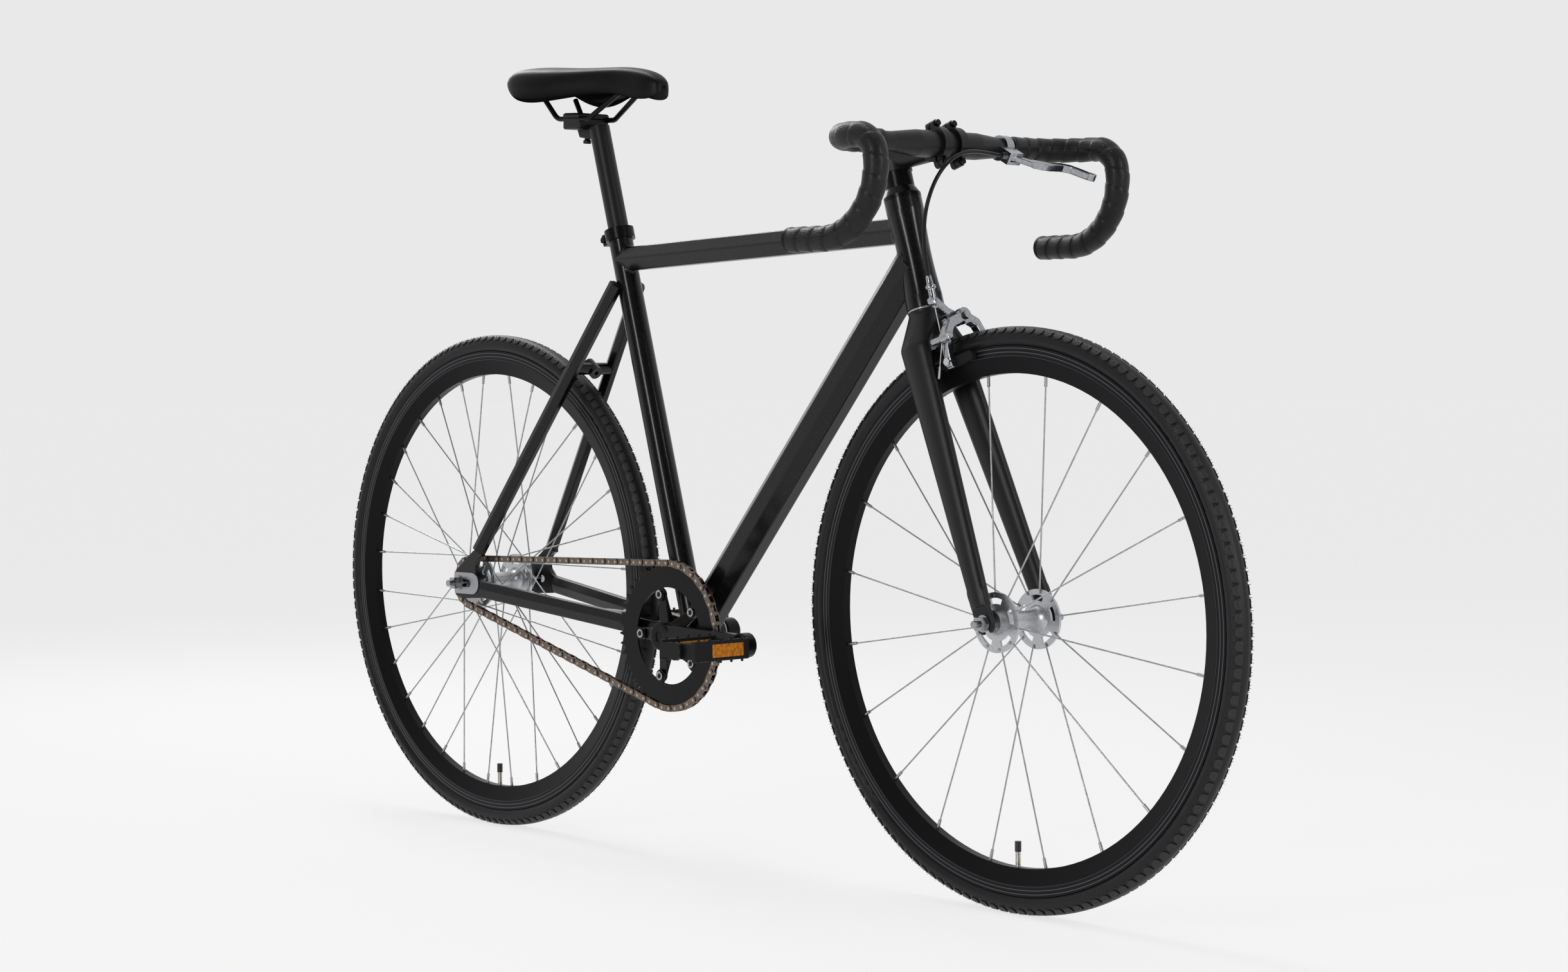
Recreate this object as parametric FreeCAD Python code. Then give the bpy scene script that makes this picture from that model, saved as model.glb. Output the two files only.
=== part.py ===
import FreeCAD, Part
import math
import os

V = FreeCAD.Vector
os.makedirs("parts", exist_ok=True)

# Sizes are in millimetres and degrees. X points forward, Y to the rider's left and Z up.
# The origin is on the ground, midway between the two wheels.

# Stance of the frame
DOWN_TUBE_TYRE_GAP = 35.0393
BB_DROP = 49.0
HEAD_ANGLE = 73.7
SEAT_ANGLE = 74.0
CROWN_RACE_ABOVE_TYRE = 49.0
SEAT_TUBE_TYRE_GAP = 30.0
FORK_RAKE = 40.0

# Fits
RUNNING_FIT = 0.05
MOVING_GAP = 0.35
SEATING_GAP = 0.02
OVERRUN = 5.0

# Tyres, inner tubes and rims
BEAD_SEAT_R = 311.0
TYRE_HEIGHT = 28.0
TYRE_WIDTH = 29.0
TYRE_WALL = 2.6
TUBE_WALL = 1.0
RIM_WIDTH = 23.0
RIM_WALL = 1.8
RIM_HOOK = 6.0
RIM_DEPTH = 32.0
RIM_BED_WIDTH = 11.0
RIM_TRACK = 13.0
VALVE_R = 3.0
VALVE_CAP_R = 3.8
VALVE_CAP_LENGTH = 12.0
VALVE_LENGTH = 30.0

# Spokes, nipples and hubs
FRONT_SPOKES = 20
REAR_SPOKES = 32
REAR_CROSSES = 3
SPOKE_R = 0.95
SPOKE_HEAD_R = 1.9
SPOKE_HEAD_T = 1.1
SPOKE_RIM_STEP = 0.5
NIPPLE_R = 1.9
NIPPLE_LENGTH = 14.0
FLANGE_R = 35.0
FLANGE_T = 3.2
FLANGE_RIM = 4.0
FLANGE_SLOTS = 5
FLANGE_SLOT_R = 21.5
FLANGE_SLOT_WIDTH = 7.0
FLANGE_SLOT_SWEEP = 40.0
HUB_BARREL_R = 11.0
HUB_FLARE_R = 16.5
HUB_FLARE_LENGTH = 15.0
HUB_BOSS_R = 14.5
HUB_BEARING_LENGTH = 8.0
HUB_BORE_R = 8.5
FRONT_FLANGE_Y = 34.5
FRONT_HUB_END_Y = 43.5
FRONT_OVER_LOCKNUTS = 100.0
FRONT_AXLE_R = 4.5
REAR_FLANGE_Y = 31.5
REAR_HUB_END_Y = 53.0
REAR_OVER_LOCKNUTS = 120.0
REAR_AXLE_R = 5.0
CONE_R = 8.5
NUT_R = 8.6
NUT_T = 9.0
WASHER_R = 10.0
WASHER_T = 2.0
AXLE_STICKOUT = 7.0
AXLE_NECK_LENGTH = 2.0
AXLE_TIP_STEP = 0.5

# Chain, chainring and cog
CHAIN_PITCH = 12.7
RING_TEETH = 46
COG_TEETH = 16
RING_WRAP_LINKS = 25
COG_WRAP_LINKS = 7
CHAIN_LINE = 45.0
ROLLER_R = 3.95
PIN_R = 1.8
PLATE_T = 1.15
PLATE_HALF_HEIGHT = 4.1
CHAIN_INNER_WIDTH = 3.4
PIN_STICKOUT = 0.3
TOOTH_SEAT_R = 4.3
TOOTH_SEAT_HALF_ANGLE = 55.0
TOOTH_TIP_RISE = 3.9
TOOTH_TIP_WIDTH = 1.6
RING_T = 2.6
RING_OPENING_R = 62.0
RING_BOLT_CIRCLE_R = 55.0
RING_TAB_R = 8.0
RING_BOLT_R = 4.2
RING_BOLT_HEAD_R = 5.8
RING_BOLT_HEAD_T = 1.6
COG_T = 2.6
COG_BORE_R = 17.0
LOCKRING_R = 21.0
LOCKRING_T = 4.0
LOCKRING_BORE_R = 15.5

# Cranks, bottom bracket and pedals
CRANK_LENGTH = 170.0
CRANK_ARM_T = 12.0
CRANK_ARM_ROOT_WIDTH = 30.0
CRANK_ARM_END_WIDTH = 25.0
CRANK_BOSS_R = 17.5
CRANK_FACE_Y = 62.0
CRANK_INNER_Y = 41.0
CRANK_END_R = 15.5
CRANK_END_INNER_Y = 61.0
CRANK_END_OUTER_Y = 77.0
SPIDER_ARMS = 5
SPIDER_ARM_ROOT_WIDTH = 22.0
SPIDER_ARM_WIDTH = 15.0
SPIDER_TAB_T = 3.6
SPIDER_RISE = 9.0
SPINDLE_R = 8.5
CRANK_BOLT_R = 7.0
CRANK_BOLT_DEPTH = 6.0
BB_SHELL_R = 20.5
BB_SHELL_WIDTH = 68.0
BB_CUP_R = 17.2
BB_CUP_LENGTH = 14.0
BB_CUP_LIP_R = 19.5
BB_CUP_LIP_T = 2.5
PEDAL_AXLE_R = 4.6
PEDAL_INSET = 7.0
PEDAL_LENGTH = 98.0
PEDAL_WIDTH = 66.0
PEDAL_HEIGHT = 25.0
PEDAL_RAIL_T = 6.0
PEDAL_BARREL_R = 9.5
PEDAL_CAP_R = 11.0
PEDAL_CAP_T = 5.0
PEDAL_PIN_R = 1.6
PEDAL_PIN_HEIGHT = 2.6
PEDAL_PINS = 5
REFLECTOR_LENGTH = 50.0
REFLECTOR_HEIGHT = 16.0
REFLECTOR_INSET = 9.0

# Main tubes
HEAD_TUBE_LENGTH = 135.0
HEAD_END_R = 22.6
HEAD_WAIST_R = 20.0
HEAD_COLLAR = 15.0
HEAD_BORE_R = 17.5
BEARING_R = 20.6
BEARING_T = 8.0
SEAT_TUBE_R = 15.9
SEAT_TUBE_LENGTH = 545.0
POST_R = 13.6
TOP_TUBE_BELOW_SEAT_TOP = 41.5
TOP_TUBE_BELOW_HEAD_TOP = 37.5
TOP_TUBE_WIDTH = 34.0
TOP_TUBE_HEIGHT = 31.0
DOWN_TUBE_ABOVE_HEAD_LOW = 59.0
DOWN_TUBE_WIDTH = 43.0
DOWN_TUBE_HEIGHT = 46.0
TUBE_WALL_T = 1.8
TUBE_CORNER_R = 4.0

# Section shapes of the faceted tubes: width and height of each corner from the middle
TOP_TUBE_SHARES = ((0.52, 1.0), (1.0, 0.0), (0.46, -1.0))
DOWN_TUBE_SHARES = ((0.45, 1.0), (1.0, 0.42), (1.0, -0.42), (0.42, -1.0))
STAY_SHARES = ((0.62, 1.0), (1.0, 0.1), (0.55, -1.0))

# Rear triangle
SEATSTAY_BELOW_SEAT_TOP = 75.0
SEATSTAY_BEHIND = 3.0
SEATSTAY_TOP_Y = 19.5
SEATSTAY_WIDTH = 16.5
SEATSTAY_HEIGHT = 18.0
CHAINSTAY_FROM_BB = 12.0
CHAINSTAY_ROOT_Y = 24.0
CHAINSTAY_WIDTH = 16.0
CHAINSTAY_HEIGHT = 23.0
STAY_CORNER_R = 2.6
STAY_WALL_T = 1.5
SEATSTAY_CAP_T = 6.0
DROPOUT_T = 6.5
DROPOUT_BEHIND = 9.0
DROPOUT_ABOVE = 15.5
DROPOUT_BELOW = 17.0
DROPOUT_SLOT_LENGTH = 22.0
CHAINSTAY_END_X = 50.0
CHAINSTAY_END_DROP = 7.0
SEATSTAY_END_X = 41.0
SEATSTAY_END_RISE = 45.0
DROPOUT_SCALLOP = 14.0
DROPOUT_STAY_TAB = 7.0
DROPOUT_PLATE_T = 1.6
DROPOUT_PLATE_FORWARD = 30.0
DROPOUT_PLATE_HALF_HEIGHT = 14.5
BRIDGE_TYRE_CLEARANCE = 12.0
BRIDGE_R = 8.0
BRIDGE_BOSS_R = 9.0
BRIDGE_BOSS_LENGTH = 22.0
BRIDGE_HOLE_R = 3.1

# Fork
STEERER_R = 14.3
STEERER_WALL = 2.2
CROWN_NECK_R = 22.0
CROWN_WAIST_R = 20.8
CROWN_WAIST_AT = 20.0
CROWN_HEIGHT = 47.0
CROWN_HALF_WIDTH = 43.0
CROWN_HALF_DEPTH = 23.0
CROWN_SHOULDER_AT = 34.0
CROWN_SHOULDER_HALF_WIDTH = 37.0
CROWN_TYRE_CLEARANCE = 5.0
CROWN_ARCH_WIDTH = 39.0
LEG_ROOT_SHARES = ((0.13, 0.16, 0.89, 1.36), (0.55, 0.55, 0.935, 1.27), (1.0, 1.0, 1.0, 1.0))
BLADE_TOP_Y = 31.0
BLADE_TOP_HALF_DEPTH = 23.0
BLADE_TOP_HALF_T = 11.4
BLADE_END_HALF_DEPTH = 13.5
BLADE_END_HALF_T = 9.0
BLADE_END_ABOVE_AXLE = 20.0
FORK_END_T = 6.0
FORK_END_R = 14.0
FORK_END_SLOT_DEPTH = 16.0
BLADE_WALL = 2.0

# Headset stack, stem and handlebar
COVER_HEIGHT = 14.0
COVER_FLANGE = 4.5
SPACERS = 3
SPACER_HEIGHT = 6.5
SPACER_R = 17.4
STEM_LENGTH = 86.0
STEM_ANGLE = -9.5
STEM_CLAMP_TILT = 11.0
STEM_CLAMP_HEIGHT = 40.0
STEM_CLAMP_R = 18.6
STEM_ROOT_R = 17.0
STEM_TIP_R = 15.5
TOP_CAP_R = 16.5
TOP_CAP_T = 4.0
BAR_CLAMP_R = 15.9
BAR_CLAMP_WALL = 5.0
BAR_CLAMP_WIDTH = 42.0
CLAMP_SPLIT = 1.2
BAND_WIDTH = 12.0
BAND_SPACING = 27.0
LUG_RISE = 10.0
LUG_DEPTH = 7.0
STEM_BOLT_R = 2.5
STEM_BOLT_HEAD_R = 3.8
STEM_BOLT_HEAD_T = 4.0
BAR_R = 11.9
BAR_BORE_R = 9.8
BAR_BULGE_END_Y = 50.0
BAR_TAPER_END_Y = 90.0
BAR_HALF_WIDTH = 200.0
BAR_REACH = 91.0
BAR_DROP = 115.0
BAR_FLARE = 10.0
BAR_END_BACK = 38.0
BAR_TOP_BEND_R = 58.0
BAR_FRONT_BEND_R = 31.0
BAR_HOOK_R = 80.0
TAPE_R = 14.3
TAPE_START_Y = 107.0
PLUG_T = 3.0
PLUG_DEPTH = 18.0

# Brake lever on the left bar top
LEVER_Y = 97.0
LEVER_BAND_WIDTH = 12.0
LEVER_BAND_R = 15.2
LEVER_SLANT = 28.0
LEVER_PIVOT_OUT = 25.0
LEVER_PIVOT_Y = 90.0
LEVER_BODY_LENGTH = 22.0
LEVER_BODY_DEPTH = 20.0
LEVER_BODY_HEIGHT = 15.0
LEVER_ROOT_R = 6.0
LEVER_ROOT_T = 7.0
LEVER_PIN_R = 2.5
LEVER_REACH = 96.0
LEVER_SWEEP = 43.0
LEVER_BLADE_HALF_WIDTH = 4.3
LEVER_BLADE_T = 9.0
LEVER_BLADE_SHARES = ((0.0, 0.0), (0.2, 0.42), (0.37, 0.53), (0.52, 0.54), (0.67, 0.55), (0.79, 0.65),
                      (0.87, 0.85), (0.94, 1.05), (1.0, 1.12))
CABLE_STOP_R = 4.2
CABLE_STOP_LENGTH = 4.0

# Brake cable housing: share of the way from lever to caliper, and the sway off that line
HOUSING_R = 2.4
HOUSING_SWAY = (
    (0.10, 3.8, -13.0, 16.0),
    (0.20, 9.0, -27.0, 31.4),
    (0.29, 13.9, -41.1, 42.1),
    (0.39, 17.3, -52.1, 48.6),
    (0.48, 18.0, -60.2, 47.5),
    (0.57, 16.1, -62.3, 40.4),
    (0.67, 12.1, -56.8, 29.7),
    (0.78, 6.9, -41.7, 20.5),
    (0.87, 1.6, -24.3, 11.9),
    (0.94, -1.0, -9.6, 5.9),
)
ROUTE_BEND_SHARE = 0.45

# Front side-pull brake, placed from the lower end of the head tube
CALIPER_BOLT_DROP = 26.0
CALIPER_BOLT_R = 3.0
CALIPER_SPACER_R = 8.0
CALIPER_STANDOFF = 20.0
CALIPER_ARM_T = 9.0
CALIPER_BOSS_R = 9.0
CALIPER_LIMB_R = 4.8
CALIPER_NUT_R = 5.5
CALIPER_NUT_T = 4.0
CALIPER_BOLT_TAIL = 16.0
CABLE_Y = 35.0
BARREL_R = 4.0
BARREL_KNOB_R = 6.0
BARREL_KNOB_T = 4.0
BARREL_LENGTH = 18.0
BARREL_CONE_LENGTH = 12.0
BARREL_TIP_R = 3.2
WIRE_R = 0.75
WIRE_HOLE_R = 2.4
WIRE_TAIL = 42.0
WIRE_TAIL_BACK = 18.0
CRIMP_R = 1.5
CRIMP_LENGTH = 14.0
ANCHOR_R = 3.4
ANCHOR_TAIL = 12.0
ANCHOR_HEAD_R = 5.0
ANCHOR_HEAD_T = 5.0
PAD_GAP = 2.0
PAD_T = 8.4
PAD_LENGTH = 50.0
PAD_HEIGHT = 11.0
PAD_BOLT_R = 4.0
PAD_BOLT_HEAD_R = 5.0
PAD_BOLT_HEAD_T = 2.5
PAD_FORWARD = 12.0
PAD_DROP = 1.5

# Seat
POST_INSERTION = 125.0
POST_EXPOSED = 141.5
POST_WALL = 2.4
COLLAR_R = 19.6
COLLAR_HEIGHT = 15.0
COLLAR_LUG_LENGTH = 8.0
COLLAR_LUG_HALF_WIDTH = 7.5
COLLAR_SLOT = 2.0
COLLAR_BOLT_R = 2.5
COLLAR_BOLT_HEAD_R = 4.2
COLLAR_BOLT_HEAD_T = 3.5
RAIL_R = 3.5
RAIL_Y = 22.0
RAIL_NOSE_Y = 15.0
RAIL_TAIL_Y = 27.0
RAIL_BEND_R = 16.0
RAIL_FLAT = 66.0
RAIL_FRONT_RUN = 66.0
RAIL_FRONT_RISE = 40.0
RAIL_REAR_RUN = 24.0
RAIL_REAR_RISE = 28.0
RAIL_TILT = 3.0
RAIL_ABOVE_POST = 12.0
RAIL_BEHIND_POST = 28.0
CRADLE_LENGTH = 34.0
CRADLE_HALF_WIDTH = 26.0
CRADLE_HEIGHT = 14.0
CRADLE_TOP_T = 8.0
CRADLE_CORNER_R = 3.0
CLAMP_BOLT_R = 3.5
CLAMP_BOLT_HEAD_R = 5.5
CLAMP_BOLT_HEAD_T = 5.0
CLAMP_BOLT_AHEAD = 4.0
SETBACK_HALF_WIDTH = 10.0
SETBACK_DEPTH = 13.0
SADDLE_LENGTH = 258.0
SADDLE_WIDTH = 148.0
SADDLE_DEPTH = 60.0
SADDLE_NOSE_AHEAD = 161.0
SADDLE_SKIRT_ABOVE_RAIL = 12.5

# Saddle sections from nose to tail: length, half width, crown height and skirt height
SADDLE_SHARES = (
    (0.0, 0.07, 0.40, 0.22),
    (0.02, 0.16, 0.52, 0.12),
    (0.06, 0.235, 0.64, 0.07),
    (0.16, 0.29, 0.77, 0.10),
    (0.29, 0.365, 0.85, 0.24),
    (0.44, 0.57, 0.875, 0.24),
    (0.59, 0.81, 0.91, 0.17),
    (0.74, 0.97, 0.967, 0.12),
    (0.87, 1.0, 1.0, 0.20),
    (0.96, 0.89, 0.92, 0.40),
    (1.0, 0.70, 0.76, 0.55),
)
SADDLE_SHOULDER_SHARE = 0.82
SADDLE_SHOULDER_HEIGHT_SHARE = 0.86
SADDLE_BULGE_HEIGHT_SHARE = 0.45
SADDLE_TUCK_SHARE = 0.86


def rod(start, end, radius):
    """Round bar between two points."""
    return Part.makeCylinder(radius, (end - start).Length, start, end - start)


def ring(start, end, outer_r, inner_r):
    """Round bar with a hole along it."""
    reach = (end - start).normalize() * OVERRUN
    return rod(start, end, outer_r).cut(rod(start - reach, end + reach, inner_r))


def closed_wire(start, *steps):
    """Closed outline of lines, and of arcs where a step is a middle point and an end point."""
    edges = []
    here = start
    for step in steps + (start,):
        if isinstance(step, tuple):
            middle, there = step
            edges.append(Part.Arc(here, middle, there).toShape())
        else:
            there = step
            if not here.isEqual(there, SEATING_GAP):
                edges.append(Part.LineSegment(here, there).toShape())
        here = there
    return Part.Wire(edges)


def turned(wire, axis):
    """Solid of revolution of an outline about an axis through the origin."""
    return Part.Face(wire).revolve(V(0, 0, 0), axis, 360)


def slab(wire, thickness):
    """Flat plate from an outline and its thickness vector."""
    return Part.Face(wire).extrude(thickness)


def block(low, high):
    """Box between two corners."""
    size = high - low
    return Part.makeBox(size.x, size.y, size.z, low)


def placed(shape, place):
    """Copy of a shape moved by a placement."""
    copy = shape.copy()
    copy.Placement = place.multiply(copy.Placement)
    return copy


def shifted(shape, offset):
    """Copy of a shape moved by an offset."""
    return placed(shape, FreeCAD.Placement(offset, FreeCAD.Rotation()))


def spun(shape, axis, angle):
    """Copy of a shape turned about an axis through the origin."""
    return placed(shape, FreeCAD.Placement(V(0, 0, 0), FreeCAD.Rotation(axis, angle)))


def mirrored(shape):
    """Copy of a shape on the other side of the bike."""
    return shape.mirror(V(0, 0, 0), V(0, 1, 0)).removeSplitter()


def fused(shapes):
    """One solid from several that touch."""
    return shapes[0].multiFuse(list(shapes[1:])).removeSplitter()


def frame_along(start, end):
    """Placement at start with X along the run and Z in the run's upright plane."""
    along = (end - start).normalize()
    side = V(0, 0, 1).cross(along).normalize()
    return FreeCAD.Placement(start, FreeCAD.Rotation(along, side, along.cross(side), "XYZ"))


def faceted_bar(start, end, width, height, shares, corner_r):
    """Straight bar with a many-sided section and rounded long edges."""
    right = [V(0, -across * width / 2, up * height / 2) for across, up in shares]
    left = [V(0, across * width / 2, up * height / 2) for across, up in reversed(shares)]
    corners = right + left
    length = (end - start).Length
    bar = slab(Part.makePolygon(corners + corners[:1]), V(length, 0, 0))
    long_edges = [edge for edge in bar.Edges if edge.BoundBox.XLength > length / 2]
    return placed(bar.makeFillet(corner_r, long_edges), frame_along(start, end))


def faceted_tube(start, end, width, height, shares, corner_r, wall):
    """Faceted bar and the hollow inside it."""
    outer = faceted_bar(start, end, width, height, shares, corner_r)
    hollow = faceted_bar(start, end, width - 2 * wall, height - 2 * wall, shares, corner_r - wall / 2)
    return outer, hollow


def route_wire(points, radii):
    """Straight runs joined by tangent arcs of the given radius at each inner point."""
    edges = []
    here = points[0]
    for before, corner, after, radius in zip(points, points[1:], points[2:], radii):
        back = (before - corner).normalize()
        ahead = (after - corner).normalize()
        half_turn = (math.pi - back.getAngle(ahead)) / 2
        tangent = radius * math.tan(half_turn)
        middle = corner + (back + ahead).normalize() * (radius / math.cos(half_turn) - radius)
        arc_start = corner + back * tangent
        arc_end = corner + ahead * tangent
        if not here.isEqual(arc_start, SEATING_GAP):
            edges.append(Part.LineSegment(here, arc_start).toShape())
        edges.append(Part.Arc(arc_start, middle, arc_end).toShape())
        here = arc_end
    edges.append(Part.LineSegment(here, points[-1]).toShape())
    return Part.Wire(edges)


def bent_rod(points, radii, radius):
    """Round bar that follows straight runs and tangent arcs."""
    path = route_wire(points, radii)
    section = Part.Wire(Part.Circle(points[0], points[1] - points[0], radius).toShape())
    return path.makePipeShell([section], True, False)


def largest_radii(points):
    """Largest arc radius that two neighbouring runs leave room for, at each inner point."""
    radii = []
    for before, corner, after in zip(points, points[1:], points[2:]):
        shorter = min((corner - before).Length, (after - corner).Length)
        half_turn = (math.pi - (before - corner).getAngle(after - corner)) / 2
        radii.append(ROUTE_BEND_SHARE * shorter / math.tan(half_turn))
    return radii


def ellipse_wire(centre, half_x, half_y):
    """Level ellipse with its half axes along X and Y."""
    if half_x >= half_y:
        curve = Part.Ellipse(centre + V(half_x, 0, 0), centre + V(0, half_y, 0), centre)
    else:
        curve = Part.Ellipse(centre + V(0, half_y, 0), centre + V(-half_x, 0, 0), centre)
    return Part.Wire(curve.toShape())


def limb(points, radius, start_x, thickness):
    """Flat arm along points in the Y Z plane, rounded at each point and thick along X."""
    pieces = []
    for point in points:
        pieces.append(Part.makeCylinder(radius, thickness, V(start_x, point.y, point.z), V(1, 0, 0)))
    for low, high in zip(points, points[1:]):
        side = V(1, 0, 0).cross((high - low).normalize()) * radius
        offset = V(start_x, 0, 0)
        outline = closed_wire(low + side + offset, high + side + offset,
                              high - side + offset, low - side + offset)
        pieces.append(slab(outline, V(thickness, 0, 0)))
    return fused(pieces)


def hexagon(centre, axis, radius, thickness):
    """Hexagonal head or nut."""
    corners = []
    for step in range(7):
        turn = math.radians(60 * step)
        corners.append(V(radius * math.cos(turn), radius * math.sin(turn), 0))
    head = slab(Part.makePolygon(corners), V(0, 0, thickness))
    return placed(head, FreeCAD.Placement(centre, FreeCAD.Rotation(V(0, 0, 1), axis)))


def save(name, *shapes):
    """Write one named piece, or one group of like pieces."""
    shape = shapes[0] if len(shapes) == 1 else Part.makeCompound(list(shapes))
    shape.exportStep("parts/" + name + ".step")
    print(name, len(shape.Solids), round(shape.Volume, 1), shape.isValid())


# Skeleton: chain geometry, axles, steering axis and seat axis. The chain has the fewest links that keep
# the seat tube clear of the rear tyre, and the wheelbase keeps the down tube clear of the front tyre.
TYRE_R = BEAD_SEAT_R + TYRE_HEIGHT
FORK_LENGTH = TYRE_R + CROWN_RACE_ABOVE_TYRE
ring_step = 2 * math.pi / RING_TEETH
cog_step = 2 * math.pi / COG_TEETH
ring_pitch_r = CHAIN_PITCH / (2 * math.sin(ring_step / 2))
cog_pitch_r = CHAIN_PITCH / (2 * math.sin(cog_step / 2))
ring_half_wrap = ring_step * RING_WRAP_LINKS / 2
cog_half_wrap = cog_step * COG_WRAP_LINKS / 2
ring_leave = V(math.cos(ring_half_wrap), 0, math.sin(ring_half_wrap)) * ring_pitch_r
cog_leave = V(-math.cos(cog_half_wrap), 0, math.sin(cog_half_wrap)) * cog_pitch_r
run_rise = ring_leave.z - cog_leave.z
seat_lean = math.radians(SEAT_ANGLE)
seat_reach = TYRE_R + SEAT_TUBE_R + SEAT_TUBE_TYRE_GAP
least_bb_x = (seat_reach + BB_DROP * math.cos(seat_lean)) / math.sin(seat_lean)
least_centre = math.hypot(least_bb_x, BB_DROP)
least_run = math.hypot(least_centre + ring_leave.x - cog_leave.x, run_rise)
STRAIGHT_LINKS = math.ceil(least_run / CHAIN_PITCH)
run_length = STRAIGHT_LINKS * CHAIN_PITCH
rear_centre = math.sqrt(run_length ** 2 - run_rise ** 2) - ring_leave.x + cog_leave.x
bb_ahead = math.sqrt(rear_centre ** 2 - BB_DROP ** 2)
steer_turn = FreeCAD.Rotation(V(0, 1, 0), HEAD_ANGLE - 90)
down_from_axle = steer_turn.multVec(V(-FORK_RAKE, 0, FORK_LENGTH + DOWN_TUBE_ABOVE_HEAD_LOW))
tyre_reach = TYRE_R + DOWN_TUBE_HEIGHT / 2 + DOWN_TUBE_TYRE_GAP
square_term = down_from_axle.z ** 2 - tyre_reach ** 2
half_term = down_from_axle.x * (down_from_axle.z * BB_DROP + tyre_reach ** 2)
foot_term = tyre_reach ** 2 * (down_from_axle.x ** 2 + (down_from_axle.z + BB_DROP) ** 2)
free_term = (down_from_axle.x * BB_DROP) ** 2 - foot_term
front_ahead = (half_term + math.sqrt(half_term ** 2 - square_term * free_term)) / square_term
WHEELBASE = bb_ahead + front_ahead
print("wheelbase", WHEELBASE)
rear_axle = V(-WHEELBASE / 2, 0, TYRE_R)
front_axle = V(WHEELBASE / 2, 0, TYRE_R)
bb = rear_axle + V(bb_ahead, 0, -BB_DROP)
drive_slope = FreeCAD.Rotation(V(1, 0, 0), bb - rear_axle)
head_low = front_axle - steer_turn.multVec(V(FORK_RAKE, 0, -FORK_LENGTH))
STEER = FreeCAD.Placement(head_low, steer_turn)
SEAT = FreeCAD.Placement(bb, FreeCAD.Rotation(V(0, 1, 0), SEAT_ANGLE - 90))
rear_dropout_y = REAR_OVER_LOCKNUTS / 2 + DROPOUT_T / 2

# Head tube with a flared collar at each end and seats for the bearings
head_wire = closed_wire(
    V(0, 0, 0), V(HEAD_END_R, 0, 0), V(HEAD_END_R, 0, HEAD_COLLAR),
    (V(HEAD_WAIST_R, 0, HEAD_TUBE_LENGTH / 2), V(HEAD_END_R, 0, HEAD_TUBE_LENGTH - HEAD_COLLAR)),
    V(HEAD_END_R, 0, HEAD_TUBE_LENGTH), V(0, 0, HEAD_TUBE_LENGTH))
head_local = turned(head_wire, V(0, 0, 1))
head_outer = placed(head_local, STEER)
head_top = V(0, 0, HEAD_TUBE_LENGTH)
bearing_low = ring(V(0, 0, 0), V(0, 0, BEARING_T), BEARING_R, STEERER_R + RUNNING_FIT)
bearing_top = shifted(bearing_low, V(0, 0, HEAD_TUBE_LENGTH - BEARING_T))
head_hollow = fused([
    rod(V(0, 0, -OVERRUN), head_top + V(0, 0, OVERRUN), HEAD_BORE_R),
    rod(V(0, 0, -OVERRUN), V(0, 0, BEARING_T), BEARING_R),
    rod(head_top - V(0, 0, BEARING_T), head_top + V(0, 0, OVERRUN), BEARING_R)])
save("head_tube", placed(head_local.cut(head_hollow), STEER))
save("headset_bearings", placed(bearing_low, STEER), placed(bearing_top, STEER))

# Bottom bracket shell with its two threaded cups
bb_half = V(0, BB_SHELL_WIDTH / 2, 0)
bb_outer = rod(bb - bb_half, bb + bb_half, BB_SHELL_R)
save("bottom_bracket_shell", ring(bb - bb_half, bb + bb_half, BB_SHELL_R, BB_CUP_R))
cups = []
for side in (-1, 1):
    lip_start = bb + bb_half * side
    cup_start = lip_start - V(0, BB_CUP_LENGTH * side, 0)
    lip_end = lip_start + V(0, BB_CUP_LIP_T * side, 0)
    cup = fused([rod(cup_start, lip_start, BB_CUP_R), rod(lip_start, lip_end, BB_CUP_LIP_R)])
    cups.append(cup.cut(rod(bb - bb_half * 2, bb + bb_half * 2, SPINDLE_R + RUNNING_FIT)))
save("bottom_bracket_cups", *cups)

# Seat tube, bored for the seatpost
seat_top = V(0, 0, SEAT_TUBE_LENGTH)
seat_outer = rod(V(0, 0, 0), seat_top, SEAT_TUBE_R)
seat_bore = rod(V(0, 0, 0), seat_top + V(0, 0, OVERRUN), POST_R + RUNNING_FIT)
seat_solid = placed(seat_outer, SEAT).cut(bb_outer)
save("seat_tube", seat_solid.cut(placed(seat_bore, SEAT)))

# Top tube and down tube, faceted and hollow, mitred to the tubes they meet
top_tube_rear = SEAT.multVec(V(0, 0, SEAT_TUBE_LENGTH - TOP_TUBE_BELOW_SEAT_TOP))
top_tube_front = STEER.multVec(V(0, 0, HEAD_TUBE_LENGTH - TOP_TUBE_BELOW_HEAD_TOP))
top_outer, top_hollow = faceted_tube(top_tube_rear, top_tube_front, TOP_TUBE_WIDTH, TOP_TUBE_HEIGHT,
                                     TOP_TUBE_SHARES, TUBE_CORNER_R, TUBE_WALL_T)
save("top_tube", top_outer.cut(top_hollow).cut(head_outer).cut(placed(seat_outer, SEAT)))
down_front = STEER.multVec(V(0, 0, DOWN_TUBE_ABOVE_HEAD_LOW))
down_foot = bb + (down_front - bb).normalize() * (BB_SHELL_R / 2)
down_outer, down_hollow = faceted_tube(down_foot, down_front, DOWN_TUBE_WIDTH, DOWN_TUBE_HEIGHT,
                                       DOWN_TUBE_SHARES, TUBE_CORNER_R, TUBE_WALL_T)
down_tube = down_outer.cut(down_hollow).cut(head_outer).cut(bb_outer)
save("down_tube", down_tube.cut(placed(seat_outer, SEAT)).cut(top_outer))

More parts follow.
